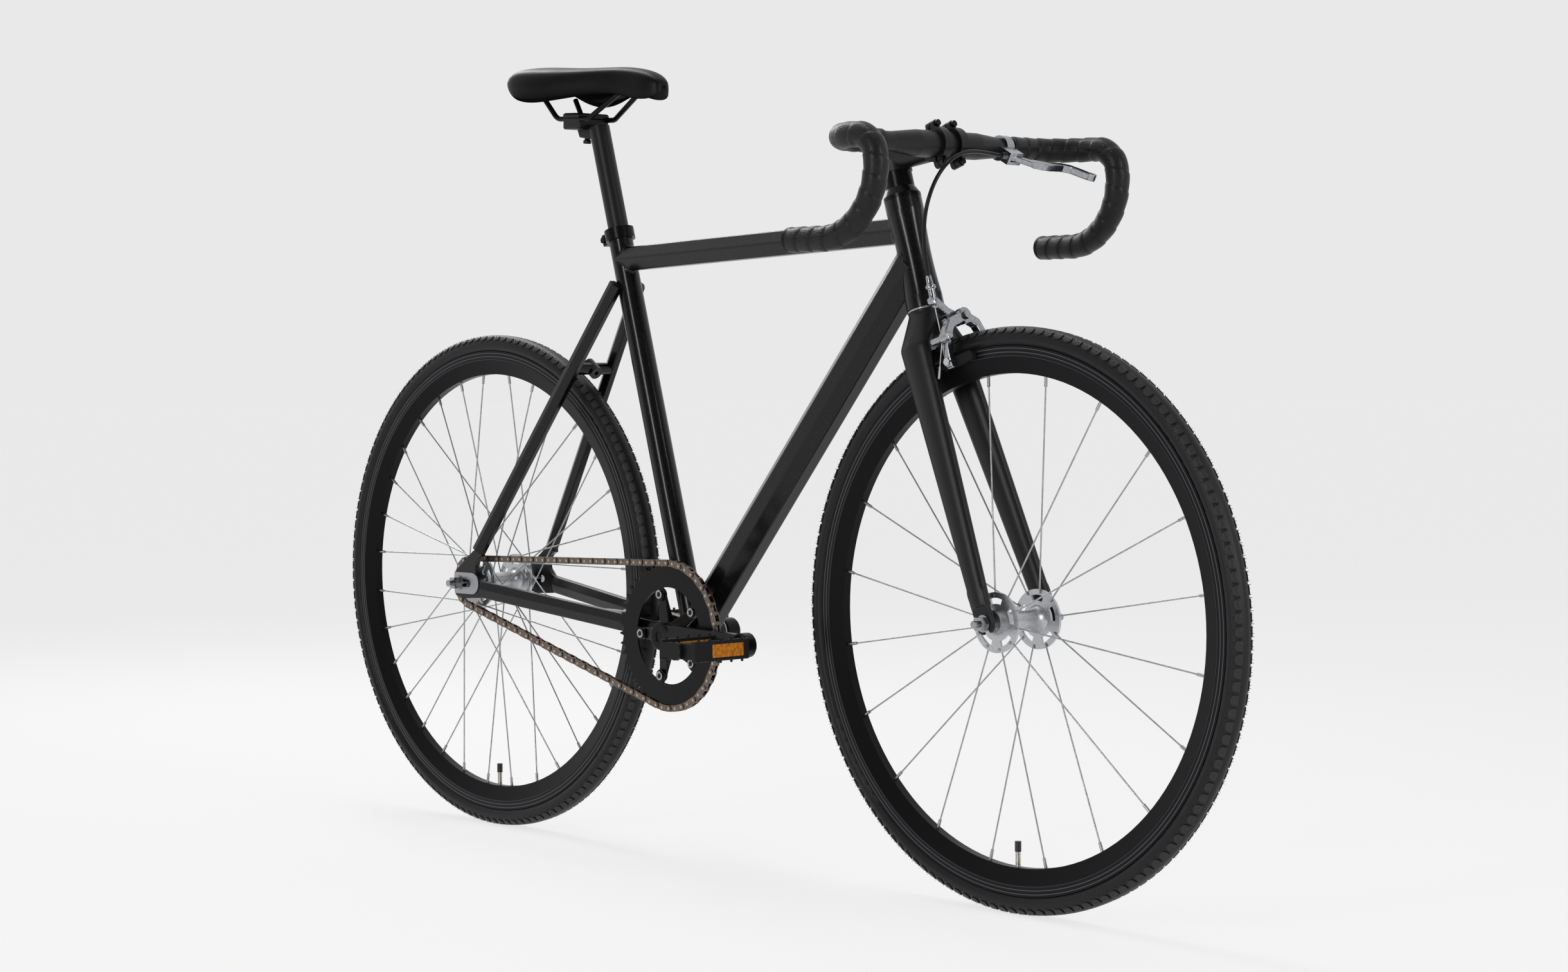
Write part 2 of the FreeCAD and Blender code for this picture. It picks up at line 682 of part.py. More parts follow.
# Rear track dropouts: a flat plate with a slot open to the rear, one on each side
slot_r = REAR_AXLE_R + RUNNING_FIT
chainstay_end = V(CHAINSTAY_END_X, 0, -CHAINSTAY_END_DROP)
seatstay_end = V(SEATSTAY_END_X, 0, SEATSTAY_END_RISE)
stay_half = V(0, 0, CHAINSTAY_HEIGHT / 2)
seatstay_half = V(SEATSTAY_HEIGHT / 2, 0, 0)
scallop_low = chainstay_end + stay_half
scallop_high = seatstay_end + seatstay_half - V(0, 0, DROPOUT_STAY_TAB)
scallop_middle = (scallop_low + scallop_high) / 2 - V(DROPOUT_SCALLOP, 0, 0)
dropout_wire = closed_wire(
    V(-DROPOUT_BEHIND, 0, DROPOUT_ABOVE), V(-DROPOUT_BEHIND, 0, -DROPOUT_BELOW),
    V(DROPOUT_SLOT_LENGTH / 2, 0, -DROPOUT_BELOW - stay_half.z / 3),
    chainstay_end - stay_half, scallop_low, (scallop_middle, scallop_high),
    seatstay_end + seatstay_half, seatstay_end - seatstay_half)
slot_tool = fused([
    rod(V(DROPOUT_SLOT_LENGTH, -OVERRUN, 0), V(DROPOUT_SLOT_LENGTH, OVERRUN + DROPOUT_T, 0), slot_r),
    block(V(-DROPOUT_BEHIND - OVERRUN, -OVERRUN, -slot_r),
          V(DROPOUT_SLOT_LENGTH, OVERRUN + DROPOUT_T, slot_r))])
dropout_plate_wire = closed_wire(
    V(-DROPOUT_BEHIND, 0, DROPOUT_PLATE_HALF_HEIGHT), V(-DROPOUT_BEHIND, 0, -DROPOUT_PLATE_HALF_HEIGHT),
    V(DROPOUT_PLATE_FORWARD, 0, -DROPOUT_PLATE_HALF_HEIGHT),
    (V(DROPOUT_PLATE_FORWARD + DROPOUT_PLATE_HALF_HEIGHT, 0, 0),
     V(DROPOUT_PLATE_FORWARD, 0, DROPOUT_PLATE_HALF_HEIGHT)))
dropout_at = rear_axle + V(0, REAR_OVER_LOCKNUTS / 2, 0)
dropout_left = shifted(slab(dropout_wire, V(0, DROPOUT_T, 0)).cut(slot_tool), dropout_at)
plate_left = shifted(slab(dropout_plate_wire, V(0, DROPOUT_PLATE_T, 0)).cut(slot_tool),
                     dropout_at + V(0, DROPOUT_T, 0))
save("rear_dropouts", dropout_left, mirrored(dropout_left))
save("dropout_plates", plate_left, mirrored(plate_left))

# Chainstays and seatstays from the dropouts to the bottom bracket and the seat tube
dropout_solid = shifted(slab(dropout_wire, V(0, DROPOUT_T, 0)), dropout_at)
chainstay_root = bb + V(-CHAINSTAY_FROM_BB, CHAINSTAY_ROOT_Y, 0)
chainstay_tip = rear_axle + chainstay_end + V(0, rear_dropout_y, 0)
chain_outer, chain_hollow = faceted_tube(chainstay_tip, chainstay_root, CHAINSTAY_WIDTH, CHAINSTAY_HEIGHT,
                                         STAY_SHARES, STAY_CORNER_R, STAY_WALL_T)
chainstay_left = chain_outer.cut(chain_hollow).cut(bb_outer).cut(placed(seat_outer, SEAT)).cut(dropout_solid)
save("chainstays", chainstay_left, mirrored(chainstay_left))
seatstay_root = SEAT.multVec(V(-SEATSTAY_BEHIND, SEATSTAY_TOP_Y, SEAT_TUBE_LENGTH - SEATSTAY_BELOW_SEAT_TOP))
seatstay_tip = rear_axle + seatstay_end + V(0, rear_dropout_y, 0)
stay_run = (seatstay_root - seatstay_tip).normalize()
stay_outer = faceted_bar(seatstay_tip, seatstay_root, SEATSTAY_WIDTH, SEATSTAY_HEIGHT, STAY_SHARES,
                         STAY_CORNER_R)
stay_lean = stay_run.getAngle(SEAT.Rotation.multVec(V(0, 0, 1)))
cap_run = SEATSTAY_CAP_T + SEAT_TUBE_R / math.sin(stay_lean)
stay_hollow = faceted_bar(seatstay_tip, seatstay_root - stay_run * cap_run,
                          SEATSTAY_WIDTH - 2 * STAY_WALL_T, SEATSTAY_HEIGHT - 2 * STAY_WALL_T, STAY_SHARES,
                          STAY_CORNER_R - STAY_WALL_T / 2)
seatstay_left = stay_outer.cut(stay_hollow).cut(placed(seat_outer, SEAT)).cut(dropout_solid)
save("seatstays", seatstay_left, mirrored(seatstay_left))

# Brake bridge between the seatstays, clear of the tyre, with a hole for a brake bolt
bridge_reach = TYRE_R + BRIDGE_TYRE_CLEARANCE + BRIDGE_BOSS_R
stay_flat = V(seatstay_tip.x, 0, seatstay_tip.z) - rear_axle
flat_run = V(stay_run.x, 0, stay_run.z)
half_b = stay_flat.dot(flat_run)
square_a = flat_run.dot(flat_run)
reach_short = stay_flat.dot(stay_flat) - bridge_reach ** 2
bridge_step = (math.sqrt(half_b ** 2 - square_a * reach_short) - half_b) / square_a
bridge_left = seatstay_tip + stay_run * bridge_step
bridge_right = V(bridge_left.x, -bridge_left.y, bridge_left.z)
bridge_middle = V(bridge_left.x, 0, bridge_left.z)
hole_along = V(-flat_run.z, 0, flat_run.x).normalize()
boss_half = hole_along * (BRIDGE_BOSS_LENGTH / 2)
bridge = fused([rod(bridge_left, bridge_right, BRIDGE_R),
                rod(bridge_middle - boss_half, bridge_middle + boss_half, BRIDGE_BOSS_R)])
bridge = bridge.cut(rod(bridge_middle - boss_half * 2, bridge_middle + boss_half * 2, BRIDGE_HOLE_R))
save("brake_bridge", bridge.cut(stay_outer).cut(mirrored(stay_outer)))
print("bridge hole", bridge_middle, hole_along)

# Rear and front axles with cones, washers and nuts
def axle_group(centre, radius, over_locknuts, hub_end_y, end_t):
    """Axle with necked tips, a cone inside each dropout, and a washer and nut outside it."""
    outer_y = over_locknuts / 2 + end_t
    nut_y = outer_y + WASHER_T + NUT_T
    tip_y = nut_y + AXLE_STICKOUT
    neck_y = nut_y + AXLE_NECK_LENGTH
    shafts = [rod(centre - V(0, nut_y, 0), centre + V(0, nut_y, 0), radius),
              rod(centre - V(0, tip_y, 0), centre + V(0, tip_y, 0), radius - 2 * AXLE_TIP_STEP)]
    for side in (-1, 1):
        shafts.append(rod(centre + V(0, side * neck_y, 0), centre + V(0, side * tip_y, 0),
                          radius - AXLE_TIP_STEP))
    pieces = [fused(shafts)]
    for side in (-1, 1):
        cone_in = centre + V(0, side * (hub_end_y + MOVING_GAP), 0)
        cone_out = centre + V(0, side * over_locknuts / 2, 0)
        washer_in = centre + V(0, side * outer_y, 0)
        washer_out = washer_in + V(0, side * WASHER_T, 0)
        pieces.append(ring(cone_in, cone_out, CONE_R, radius))
        pieces.append(ring(washer_in, washer_out, WASHER_R, radius))
        nut = hexagon(washer_out, V(0, side, 0), NUT_R, NUT_T)
        pieces.append(nut.cut(pieces[0]))
    return pieces


save("rear_axle", *axle_group(rear_axle, REAR_AXLE_R, REAR_OVER_LOCKNUTS, REAR_HUB_END_Y,
                              DROPOUT_T + DROPOUT_PLATE_T))
save("front_axle", *axle_group(front_axle, FRONT_AXLE_R, FRONT_OVER_LOCKNUTS, FRONT_HUB_END_Y, FORK_END_T))

# Wheels, made about the Y axis at the origin and then moved to their axles
rim_edge_r = BEAD_SEAT_R + RIM_HOOK
rim_bed_r = rim_edge_r - RIM_DEPTH
rim_half = RIM_WIDTH / 2
well_half = rim_half - RIM_WALL
bed_half = RIM_BED_WIDTH / 2
track_r = rim_edge_r - RIM_TRACK
section_r = TYRE_R - TYRE_WIDTH / 2
tyre_half = TYRE_WIDTH / 2
wall_fall = section_r - rim_edge_r
wall_inset = tyre_half - well_half
wall_arc_r = (wall_fall ** 2 + wall_inset ** 2) / (2 * wall_inset)
wall_turn = math.asin(wall_fall / wall_arc_r) / 2
wall_middle = V(section_r - wall_arc_r * math.sin(wall_turn),
                tyre_half - wall_arc_r + wall_arc_r * math.cos(wall_turn), 0)
tyre_wire = closed_wire(
    V(BEAD_SEAT_R, well_half, 0), V(rim_edge_r, well_half, 0),
    (wall_middle, V(section_r, tyre_half, 0)),
    (V(TYRE_R, 0, 0), V(section_r, -tyre_half, 0)),
    (V(wall_middle.x, -wall_middle.y, 0), V(rim_edge_r, -well_half, 0)),
    V(BEAD_SEAT_R, -well_half, 0))
air_r = tyre_half - TYRE_WALL
channel_half = well_half - TYRE_WALL
air_ring = Part.makeTorus(section_r, air_r, V(0, 0, 0), V(0, 1, 0))
channel = ring(V(0, -channel_half, 0), V(0, channel_half, 0), section_r, BEAD_SEAT_R - OVERRUN)
tyre = turned(tyre_wire, V(0, 1, 0)).cut(air_ring).cut(channel)
rim_wire = closed_wire(
    V(rim_bed_r, -bed_half, 0), V(track_r, -rim_half, 0), V(rim_edge_r, -rim_half, 0),
    V(rim_edge_r, -well_half, 0), V(BEAD_SEAT_R, -well_half, 0),
    V(BEAD_SEAT_R, well_half, 0), V(rim_edge_r, well_half, 0), V(rim_edge_r, rim_half, 0),
    V(track_r, rim_half, 0), V(rim_bed_r, bed_half, 0))
rim_hollow_wire = closed_wire(
    V(rim_bed_r + RIM_WALL, -bed_half + RIM_WALL / 2, 0), V(track_r, -well_half, 0),
    V(BEAD_SEAT_R - RIM_WALL, -well_half, 0), V(BEAD_SEAT_R - RIM_WALL, well_half, 0),
    V(track_r, well_half, 0), V(rim_bed_r + RIM_WALL, bed_half - RIM_WALL / 2, 0))
rim_plain = turned(rim_wire, V(0, 1, 0)).cut(turned(rim_hollow_wire, V(0, 1, 0)))
valve_hole = rod(V(0, 0, -rim_bed_r + OVERRUN), V(0, 0, -section_r), VALVE_R + SEATING_GAP)
tube_outer = Part.makeTorus(section_r, air_r - SEATING_GAP, V(0, 0, 0), V(0, 1, 0))
tube_air = Part.makeTorus(section_r, air_r - SEATING_GAP - TUBE_WALL, V(0, 0, 0), V(0, 1, 0))
valve_end_r = rim_bed_r - VALVE_LENGTH
valve = fused([
    rod(V(0, 0, -section_r + air_r - TUBE_WALL / 2), V(0, 0, -valve_end_r), VALVE_R),
    rod(V(0, 0, -valve_end_r - VALVE_CAP_LENGTH), V(0, 0, -valve_end_r), VALVE_CAP_R)])
inner_tube = fused([tube_outer, valve]).cut(tube_air)


def hub_shell(flange_y, end_y, axle_r, boss_r):
    """High-flange hub: trumpet barrel, slotted flanges, end bosses and bearing seats."""
    inner_y = flange_y - FLANGE_T / 2
    outer_y = flange_y + FLANGE_T / 2
    neck_y = inner_y - HUB_FLARE_LENGTH
    flare = V((HUB_BARREL_R * 2 + HUB_FLARE_R) / 3, (neck_y + inner_y * 2) / 3, 0)
    outline = closed_wire(
        V(0, -end_y, 0), V(boss_r, -end_y, 0), V(boss_r, -outer_y, 0), V(FLANGE_R, -outer_y, 0),
        V(FLANGE_R, -inner_y, 0), V(HUB_FLARE_R, -inner_y, 0),
        (V(flare.x, -flare.y, 0), V(HUB_BARREL_R, -neck_y, 0)), V(HUB_BARREL_R, neck_y, 0),
        (flare, V(HUB_FLARE_R, inner_y, 0)), V(FLANGE_R, inner_y, 0), V(FLANGE_R, outer_y, 0),
        V(boss_r, outer_y, 0), V(boss_r, end_y, 0), V(0, end_y, 0))
    shell = turned(outline, V(0, 1, 0))
    bearing_y = end_y - HUB_BEARING_LENGTH
    reach = V(0, end_y + OVERRUN, 0)
    shell = shell.cut(rod(V(0, 0, 0) - reach, reach, axle_r + RUNNING_FIT))
    return shell.cut(rod(V(0, -bearing_y, 0), V(0, bearing_y, 0), HUB_BORE_R))


def flange_slots(end_y):
    """Curved lightening slots through both flanges."""
    half_sweep = math.radians(FLANGE_SLOT_SWEEP / 2)
    inner_r = FLANGE_SLOT_R
    outer_r = FLANGE_SLOT_R + FLANGE_SLOT_WIDTH
    points = []
    for radius, turn in ((inner_r, -half_sweep), (inner_r, 0), (inner_r, half_sweep),
                         (outer_r, half_sweep), (outer_r, 0), (outer_r, -half_sweep)):
        points.append(V(radius * math.sin(turn), -end_y, radius * math.cos(turn)))
    outline = closed_wire(points[0], (points[1], points[2]), points[3], (points[4], points[5]))
    tool = slab(outline, V(0, 2 * end_y, 0))
    return [spun(tool, V(0, 1, 0), 360 * index / FLANGE_SLOTS) for index in range(FLANGE_SLOTS)]


def polar(radius, turn, y):
    """Point at a radius and an angle about the axle."""
    return V(radius * math.sin(turn), y, radius * math.cos(turn))


def elbow_standoff(hub_turn, rim_turn, fall):
    """How far an outside elbow stands off, so that its spoke leans in past the flange edge."""
    start = polar(FLANGE_R - FLANGE_RIM, hub_turn, 0)
    run = polar(rim_bed_r + RIM_WALL, rim_turn, 0) - start
    along = start.dot(run) / run.Length
    leave = math.sqrt(along ** 2 + FLANGE_R ** 2 - start.dot(start)) - along
    return fall * leave / (run.Length - leave)


def laced_spoke(hub_turn, rim_turn, flange_y, side, head_out):
    """Spoke with its elbow through the flange, its head, and the nipple at the rim."""
    hole_r = FLANGE_R - FLANGE_RIM
    face_gap = FLANGE_T / 2 + SPOKE_R + RUNNING_FIT
    standoff = elbow_standoff(hub_turn, rim_turn, flange_y + face_gap + SPOKE_RIM_STEP / 2)
    bend_y = side * (flange_y - face_gap if head_out else flange_y + face_gap + standoff)
    head_in_y = side * (flange_y + face_gap if head_out else flange_y - face_gap)
    head_y = side * (flange_y + FLANGE_T / 2 if head_out else flange_y - FLANGE_T / 2)
    tip_y = side * (SPOKE_RIM_STEP if head_out else -SPOKE_RIM_STEP / 2)
    bend = polar(hole_r, hub_turn, bend_y)
    tip = polar(rim_bed_r + RIM_WALL, rim_turn, tip_y)
    head_end = polar(hole_r, hub_turn, head_y + (head_in_y - head_y) / abs(head_in_y - head_y) * SPOKE_HEAD_T)
    head_start = polar(hole_r, hub_turn, head_y)
    spoke = fused([rod(bend, tip, SPOKE_R), Part.makeSphere(SPOKE_R, bend),
                   rod(bend, head_start, SPOKE_R), rod(head_start, head_end, SPOKE_HEAD_R)])
    inward = (bend - tip).normalize()
    nipple = ring(tip, tip + inward * NIPPLE_LENGTH, NIPPLE_R, SPOKE_R)
    socket = rod(tip - inward * RIM_WALL, tip + inward * (NIPPLE_LENGTH + RIM_WALL), NIPPLE_R)
    return spoke, nipple, socket


def spoke_holes(turns, end_y):
    """Drill for the flange holes of both flanges."""
    hole_r = FLANGE_R - FLANGE_RIM
    tools = []
    for turn, side in turns:
        tools.append(rod(polar(hole_r, turn, 0), polar(hole_r, turn, side * end_y), SPOKE_R + RUNNING_FIT))
    return tools


def wheel(name, place, spokes, hub):
    """Write a wheel's rim, tyre, inner tube, spokes and hub at its axle."""
    sockets = [socket for spoke, nipple, socket in spokes]
    save(name + "_rim", shifted(rim_plain.cut(sockets + [valve_hole]), place))
    save(name + "_tyre", shifted(tyre, place))
    save(name + "_inner_tube", shifted(inner_tube, place))
    pieces = [spoke for spoke, nipple, socket in spokes] + [nipple for spoke, nipple, socket in spokes]
    save(name + "_spokes", *[shifted(piece, place) for piece in pieces])
    save(name + "_hub", shifted(hub, place))


# Front wheel: radial spokes with every head on the outside
front_spokes = []
front_turns = []
for index in range(FRONT_SPOKES):
    turn = 2 * math.pi * (index + 1 / 2) / FRONT_SPOKES
    side = -1 if index % 2 else 1
    front_turns.append((turn, side))
    front_spokes.append(laced_spoke(turn, turn, FRONT_FLANGE_Y, side, True))
front_hub = hub_shell(FRONT_FLANGE_Y, FRONT_HUB_END_Y, FRONT_AXLE_R, HUB_BOSS_R)
front_hub = front_hub.cut(flange_slots(FRONT_HUB_END_Y) + spoke_holes(front_turns, FRONT_HUB_END_Y))
wheel("front", front_axle, front_spokes, front_hub)

# Rear wheel: crossed spokes, heads alternating in and out, with the cog on the right
rear_spokes = []
rear_turns = []
hole_step = 4 * math.pi / REAR_SPOKES
for index in range(REAR_SPOKES):
    side = -1 if index % 2 else 1
    flange_index = index // 2
    leading = flange_index % 2 == 0
    hub_turn = hole_step * (flange_index + (1 / 4 if side > 0 else 3 / 4))
    sweep = hole_step * REAR_CROSSES * (1 if leading else -1)
    rear_turns.append((hub_turn, side))
    rear_spokes.append(laced_spoke(hub_turn, hub_turn + sweep, REAR_FLANGE_Y, side, leading))
rear_hub = hub_shell(REAR_FLANGE_Y, REAR_HUB_END_Y, REAR_AXLE_R, HUB_BOSS_R)
cog_outer_y = CHAIN_LINE + COG_T / 2
cog_seat = ring(V(0, -REAR_FLANGE_Y, 0), V(0, -cog_outer_y, 0), COG_BORE_R, HUB_BOSS_R - RIM_WALL)
lock_seat = ring(V(0, -cog_outer_y, 0), V(0, -cog_outer_y - LOCKRING_T, 0), LOCKRING_BORE_R,
                 HUB_BOSS_R - RIM_WALL)
rear_hub = fused([rear_hub, cog_seat, lock_seat])
rear_drill_y = REAR_FLANGE_Y + FLANGE_T
rear_hub = rear_hub.cut(flange_slots(rear_drill_y) + spoke_holes(rear_turns, rear_drill_y))
wheel("rear", rear_axle, rear_spokes, rear_hub)


# Toothed wheels and the chain that joins them
def sprocket(teeth, pitch_r, thickness):
    """Toothed disc about the Y axis, with a roller seat centred at angle zero on X."""
    step = 2 * math.pi / teeth
    seat_turn = math.radians(TOOTH_SEAT_HALF_ANGLE)
    tip_r = pitch_r + TOOTH_TIP_RISE
    tip_half = TOOTH_TIP_WIDTH / 2 / tip_r
    edges = []
    for index in range(teeth):
        turn = step * index
        out = V(math.cos(turn), 0, math.sin(turn))
        across = V(-math.sin(turn), 0, math.cos(turn))
        seat = out * pitch_r
        dip = out * (-TOOTH_SEAT_R * math.cos(seat_turn))
        spread = across * (TOOTH_SEAT_R * math.sin(seat_turn))
        first = seat + dip - spread
        last = seat + dip + spread
        tips = []
        for tip_turn in (turn + step / 2 - tip_half, turn + step / 2 + tip_half):
            tips.append(V(tip_r * math.cos(tip_turn), 0, tip_r * math.sin(tip_turn)))
        edges.append(Part.Arc(first, seat - out * TOOTH_SEAT_R, last).toShape())
        edges.append(Part.LineSegment(last, tips[0]).toShape())
        edges.append(Part.LineSegment(tips[0], tips[1]).toShape())
        next_first = FreeCAD.Rotation(V(0, -1, 0), math.degrees(step)).multVec(first)
        edges.append(Part.LineSegment(tips[1], next_first).toShape())
    disc = Part.Face(Part.Wire(Part.__sortEdges__(edges))).extrude(V(0, thickness, 0))
    return shifted(disc, V(0, -thickness / 2, 0))


def link_plate(y_low, thickness, hole_r):
    """Long round-ended plate between two pins, with a hole at each pin."""
    half = V(0, 0, PLATE_HALF_HEIGHT)
    along = V(CHAIN_PITCH, 0, 0)
    start = V(0, y_low, 0)
    outline = closed_wire(
        start - half, start + along - half,
        (start + along + V(PLATE_HALF_HEIGHT, 0, 0), start + along + half), start + half,
        (start - V(PLATE_HALF_HEIGHT, 0, 0), start - half))
    plate = slab(outline, V(0, thickness, 0))
    for pin in (start, start + along):
        plate = plate.cut(rod(pin - V(0, OVERRUN, 0), pin + V(0, OVERRUN, 0), hole_r))
    return plate


def chain_links():
    """One inner link with its rollers and one outer link with its pins, along X from the origin."""
    inner_y = CHAIN_INNER_WIDTH / 2
    outer_y = inner_y + PLATE_T + SEATING_GAP
    pin_y = outer_y + PLATE_T + PIN_STICKOUT
    along = V(CHAIN_PITCH, 0, 0)
    bore_r = PIN_R + RUNNING_FIT
    inner = [link_plate(inner_y, PLATE_T, bore_r), link_plate(-inner_y - PLATE_T, PLATE_T, bore_r)]
    outer = [link_plate(outer_y, PLATE_T, PIN_R), link_plate(-outer_y - PLATE_T, PLATE_T, PIN_R)]
    for pin in (V(0, 0, 0), along):
        inner.append(ring(pin - V(0, inner_y, 0), pin + V(0, inner_y, 0), ROLLER_R, bore_r))
        outer.append(rod(pin - V(0, pin_y, 0), pin + V(0, pin_y, 0), PIN_R))
    return fused(inner), fused(outer)


def chain_pins():
    """Pin centres round the loop, in the plane of the line of centres."""
    pins = []
    for index in range(RING_WRAP_LINKS + 1):
        turn = ring_half_wrap - ring_step * index
        pins.append(V(rear_centre + ring_pitch_r * math.cos(turn), 0, ring_pitch_r * math.sin(turn)))
    low_leave = pins[-1]
    low_meet = V(cog_leave.x, 0, -cog_leave.z)
    for index in range(1, STRAIGHT_LINKS):
        pins.append(low_leave + (low_meet - low_leave) * (index / STRAIGHT_LINKS))
    for index in range(COG_WRAP_LINKS + 1):
        turn = math.pi + cog_half_wrap - cog_step * index
        pins.append(V(cog_pitch_r * math.cos(turn), 0, cog_pitch_r * math.sin(turn)))
    top_leave = pins[-1]
    top_meet = pins[0]
    for index in range(1, STRAIGHT_LINKS):
        pins.append(top_leave + (top_meet - top_leave) * (index / STRAIGHT_LINKS))
    return pins


drive_plane = FreeCAD.Placement(rear_axle - V(0, CHAIN_LINE, 0), drive_slope)
inner_link, outer_link = chain_links()
pins = [drive_plane.multVec(pin) for pin in chain_pins()]
links = []
for index, pin in enumerate(pins):
    next_pin = pins[(index + 1) % len(pins)]
    link = outer_link if index % 2 else inner_link
    links.append(placed(link, FreeCAD.Placement(pin, FreeCAD.Rotation(V(1, 0, 0), next_pin - pin))))
save("chain", *links)

cog_disc = spun(sprocket(COG_TEETH, cog_pitch_r, COG_T), V(0, -1, 0), math.degrees(math.pi + cog_step / 2))
cog_disc = cog_disc.cut(rod(V(0, -COG_T, 0), V(0, COG_T, 0), COG_BORE_R))
lock_at = V(0, -COG_T / 2, 0)
lockring = ring(lock_at, lock_at - V(0, LOCKRING_T, 0), LOCKRING_R, LOCKRING_BORE_R)
save("cog", placed(cog_disc, drive_plane), placed(lockring, drive_plane))

# Chainring: a toothed plate with bolt tabs reaching in from its opening
ring_at = FreeCAD.Placement(bb - V(0, CHAIN_LINE, 0), FreeCAD.Rotation())
arm_turns = [math.pi + 2 * math.pi * index / SPIDER_ARMS for index in range(SPIDER_ARMS)]
bolt_spots = [V(math.cos(turn), 0, math.sin(turn)) * RING_BOLT_CIRCLE_R for turn in arm_turns]
ring_half = V(0, RING_T / 2, 0)
opening = rod(ring_half * -2, ring_half * 2, RING_OPENING_R)
tabs = [rod(spot - ring_half, spot + ring_half, RING_TAB_R) for spot in bolt_spots]
for spot, turn in zip(bolt_spots, arm_turns):
    bridge_out = V(math.cos(turn), 0, math.sin(turn)) * (RING_OPENING_R + RING_TAB_R)
    across = V(-math.sin(turn), 0, math.cos(turn)) * RING_TAB_R
    outline = closed_wire(spot - across - ring_half, bridge_out - across - ring_half,
                          bridge_out + across - ring_half, spot + across - ring_half)
    tabs.append(slab(outline, ring_half * 2))
toothed = placed(sprocket(RING_TEETH, ring_pitch_r, RING_T), FreeCAD.Placement(V(0, 0, 0), drive_slope))
toothed = spun(toothed, V(0, -1, 0), math.degrees(ring_step / 2))
chainring = fused([toothed.cut(opening)] + tabs)
bolt_through = V(0, RING_T / 2 + SPIDER_TAB_T, 0)
bolt_drills = [rod(spot - ring_half * 2, spot + bolt_through * 2, RING_BOLT_R) for spot in bolt_spots]
save("chainring", placed(chainring.cut(bolt_drills), ring_at))
ring_bolts = []
for spot in bolt_spots:
    head_out = spot - ring_half - V(0, RING_BOLT_HEAD_T, 0)
    nut_out = spot + bolt_through + V(0, RING_BOLT_HEAD_T, 0)
    bolt = fused([rod(spot - ring_half, spot + bolt_through, RING_BOLT_R),
                  rod(head_out, spot - ring_half, RING_BOLT_HEAD_R),
                  rod(spot + bolt_through, nut_out, RING_BOLT_HEAD_R)])
    ring_bolts.append(placed(bolt, ring_at))
save("chainring_bolts", *ring_bolts)

# Crank arms, made pointing forward on the right and backward on the left
spindle_half = V(0, CRANK_FACE_Y - CRANK_BOLT_DEPTH, 0)
spindle = rod(bb - spindle_half, bb + spindle_half, SPINDLE_R)
crank_bolts = []
for side in (-1, 1):
    bolt_in = bb + V(0, side * (CRANK_FACE_Y - CRANK_BOLT_DEPTH), 0)
    bolt_out = bb + V(0, side * (CRANK_FACE_Y - RING_BOLT_HEAD_T), 0)
    crank_bolts.append(rod(bolt_in, bolt_out, CRANK_BOLT_R))
save("crank_spindle", spindle, *crank_bolts)


def crank_arm():
    """Plain crank arm on the right side about the origin, pointing forward."""
    boss = rod(V(0, -CRANK_FACE_Y, 0), V(0, -CRANK_INNER_Y, 0), CRANK_BOSS_R)
    end = rod(V(CRANK_LENGTH, -CRANK_END_OUTER_Y, 0), V(CRANK_LENGTH, -CRANK_END_INNER_Y, 0), CRANK_END_R)
    root_y = CRANK_FACE_Y - CRANK_BOLT_DEPTH * 2 / 3
    tip_y = CRANK_END_OUTER_Y - CRANK_BOLT_DEPTH * 2 / 3
    sections = []
    for x, y, width in ((0, root_y, CRANK_ARM_ROOT_WIDTH), (CRANK_LENGTH, tip_y, CRANK_ARM_END_WIDTH)):
        low = V(x, -y, -width / 2)
        high = V(x, -y, width / 2)
        back = V(0, CRANK_ARM_T, 0)
        bulge = V(0, CRANK_BOLT_DEPTH / 2, 0)
        sections.append(closed_wire(low, (V(x, -y, 0) - bulge, high), high + back, low + back))
    arm = Part.makeLoft(sections, True, True)
    crank = fused([arm, boss, end])
    bolt_seat = V(0, -CRANK_FACE_Y + CRANK_BOLT_DEPTH, 0)
    crank = crank.cut(rod(bolt_seat, V(0, 0, 0), SPINDLE_R))
    crank = crank.cut(rod(V(0, -CRANK_FACE_Y - OVERRUN, 0), bolt_seat, CRANK_BOLT_R))
    axle_reach = V(0, OVERRUN, 0)
    return crank.cut(rod(V(CRANK_LENGTH, -CRANK_END_OUTER_Y, 0) - axle_reach,
                         V(CRANK_LENGTH, -CRANK_END_INNER_Y, 0) + axle_reach, PEDAL_AXLE_R))


def spider():
    """Five arms from the right crank boss to the tabs behind the chainring."""
    tab_y = -CHAIN_LINE + RING_T / 2
    pieces = []
    for spot, turn in zip(bolt_spots, arm_turns):
        out = V(math.cos(turn), 0, math.sin(turn))
        across = V(-math.sin(turn), 0, math.cos(turn))
        tab_start = V(spot.x, tab_y, spot.z)
        pieces.append(rod(tab_start, tab_start + V(0, SPIDER_TAB_T, 0), RING_TAB_R))
        sections = []
        for reach, half, rise in ((0, SPIDER_ARM_ROOT_WIDTH / 2, SPIDER_RISE),
                                  (RING_BOLT_CIRCLE_R - RING_TAB_R, SPIDER_ARM_WIDTH / 2, 0)):
            inner = out * reach + V(0, tab_y + SPIDER_TAB_T, 0)
            outer = out * reach + V(0, tab_y - rise, 0)
            sections.append(closed_wire(inner - across * half, inner + across * half,
                                        outer + across * half, outer - across * half))
        pieces.append(Part.makeLoft(sections, True, True))
        strip_low = out * (RING_BOLT_CIRCLE_R - RING_TAB_R) + V(0, tab_y, 0)
        half = SPIDER_ARM_WIDTH / 2
        outline = closed_wire(strip_low - across * half, strip_low + across * half,
                              tab_start + across * half, tab_start - across * half)
        pieces.append(slab(outline, V(0, SPIDER_TAB_T, 0)))
    return fused(pieces)


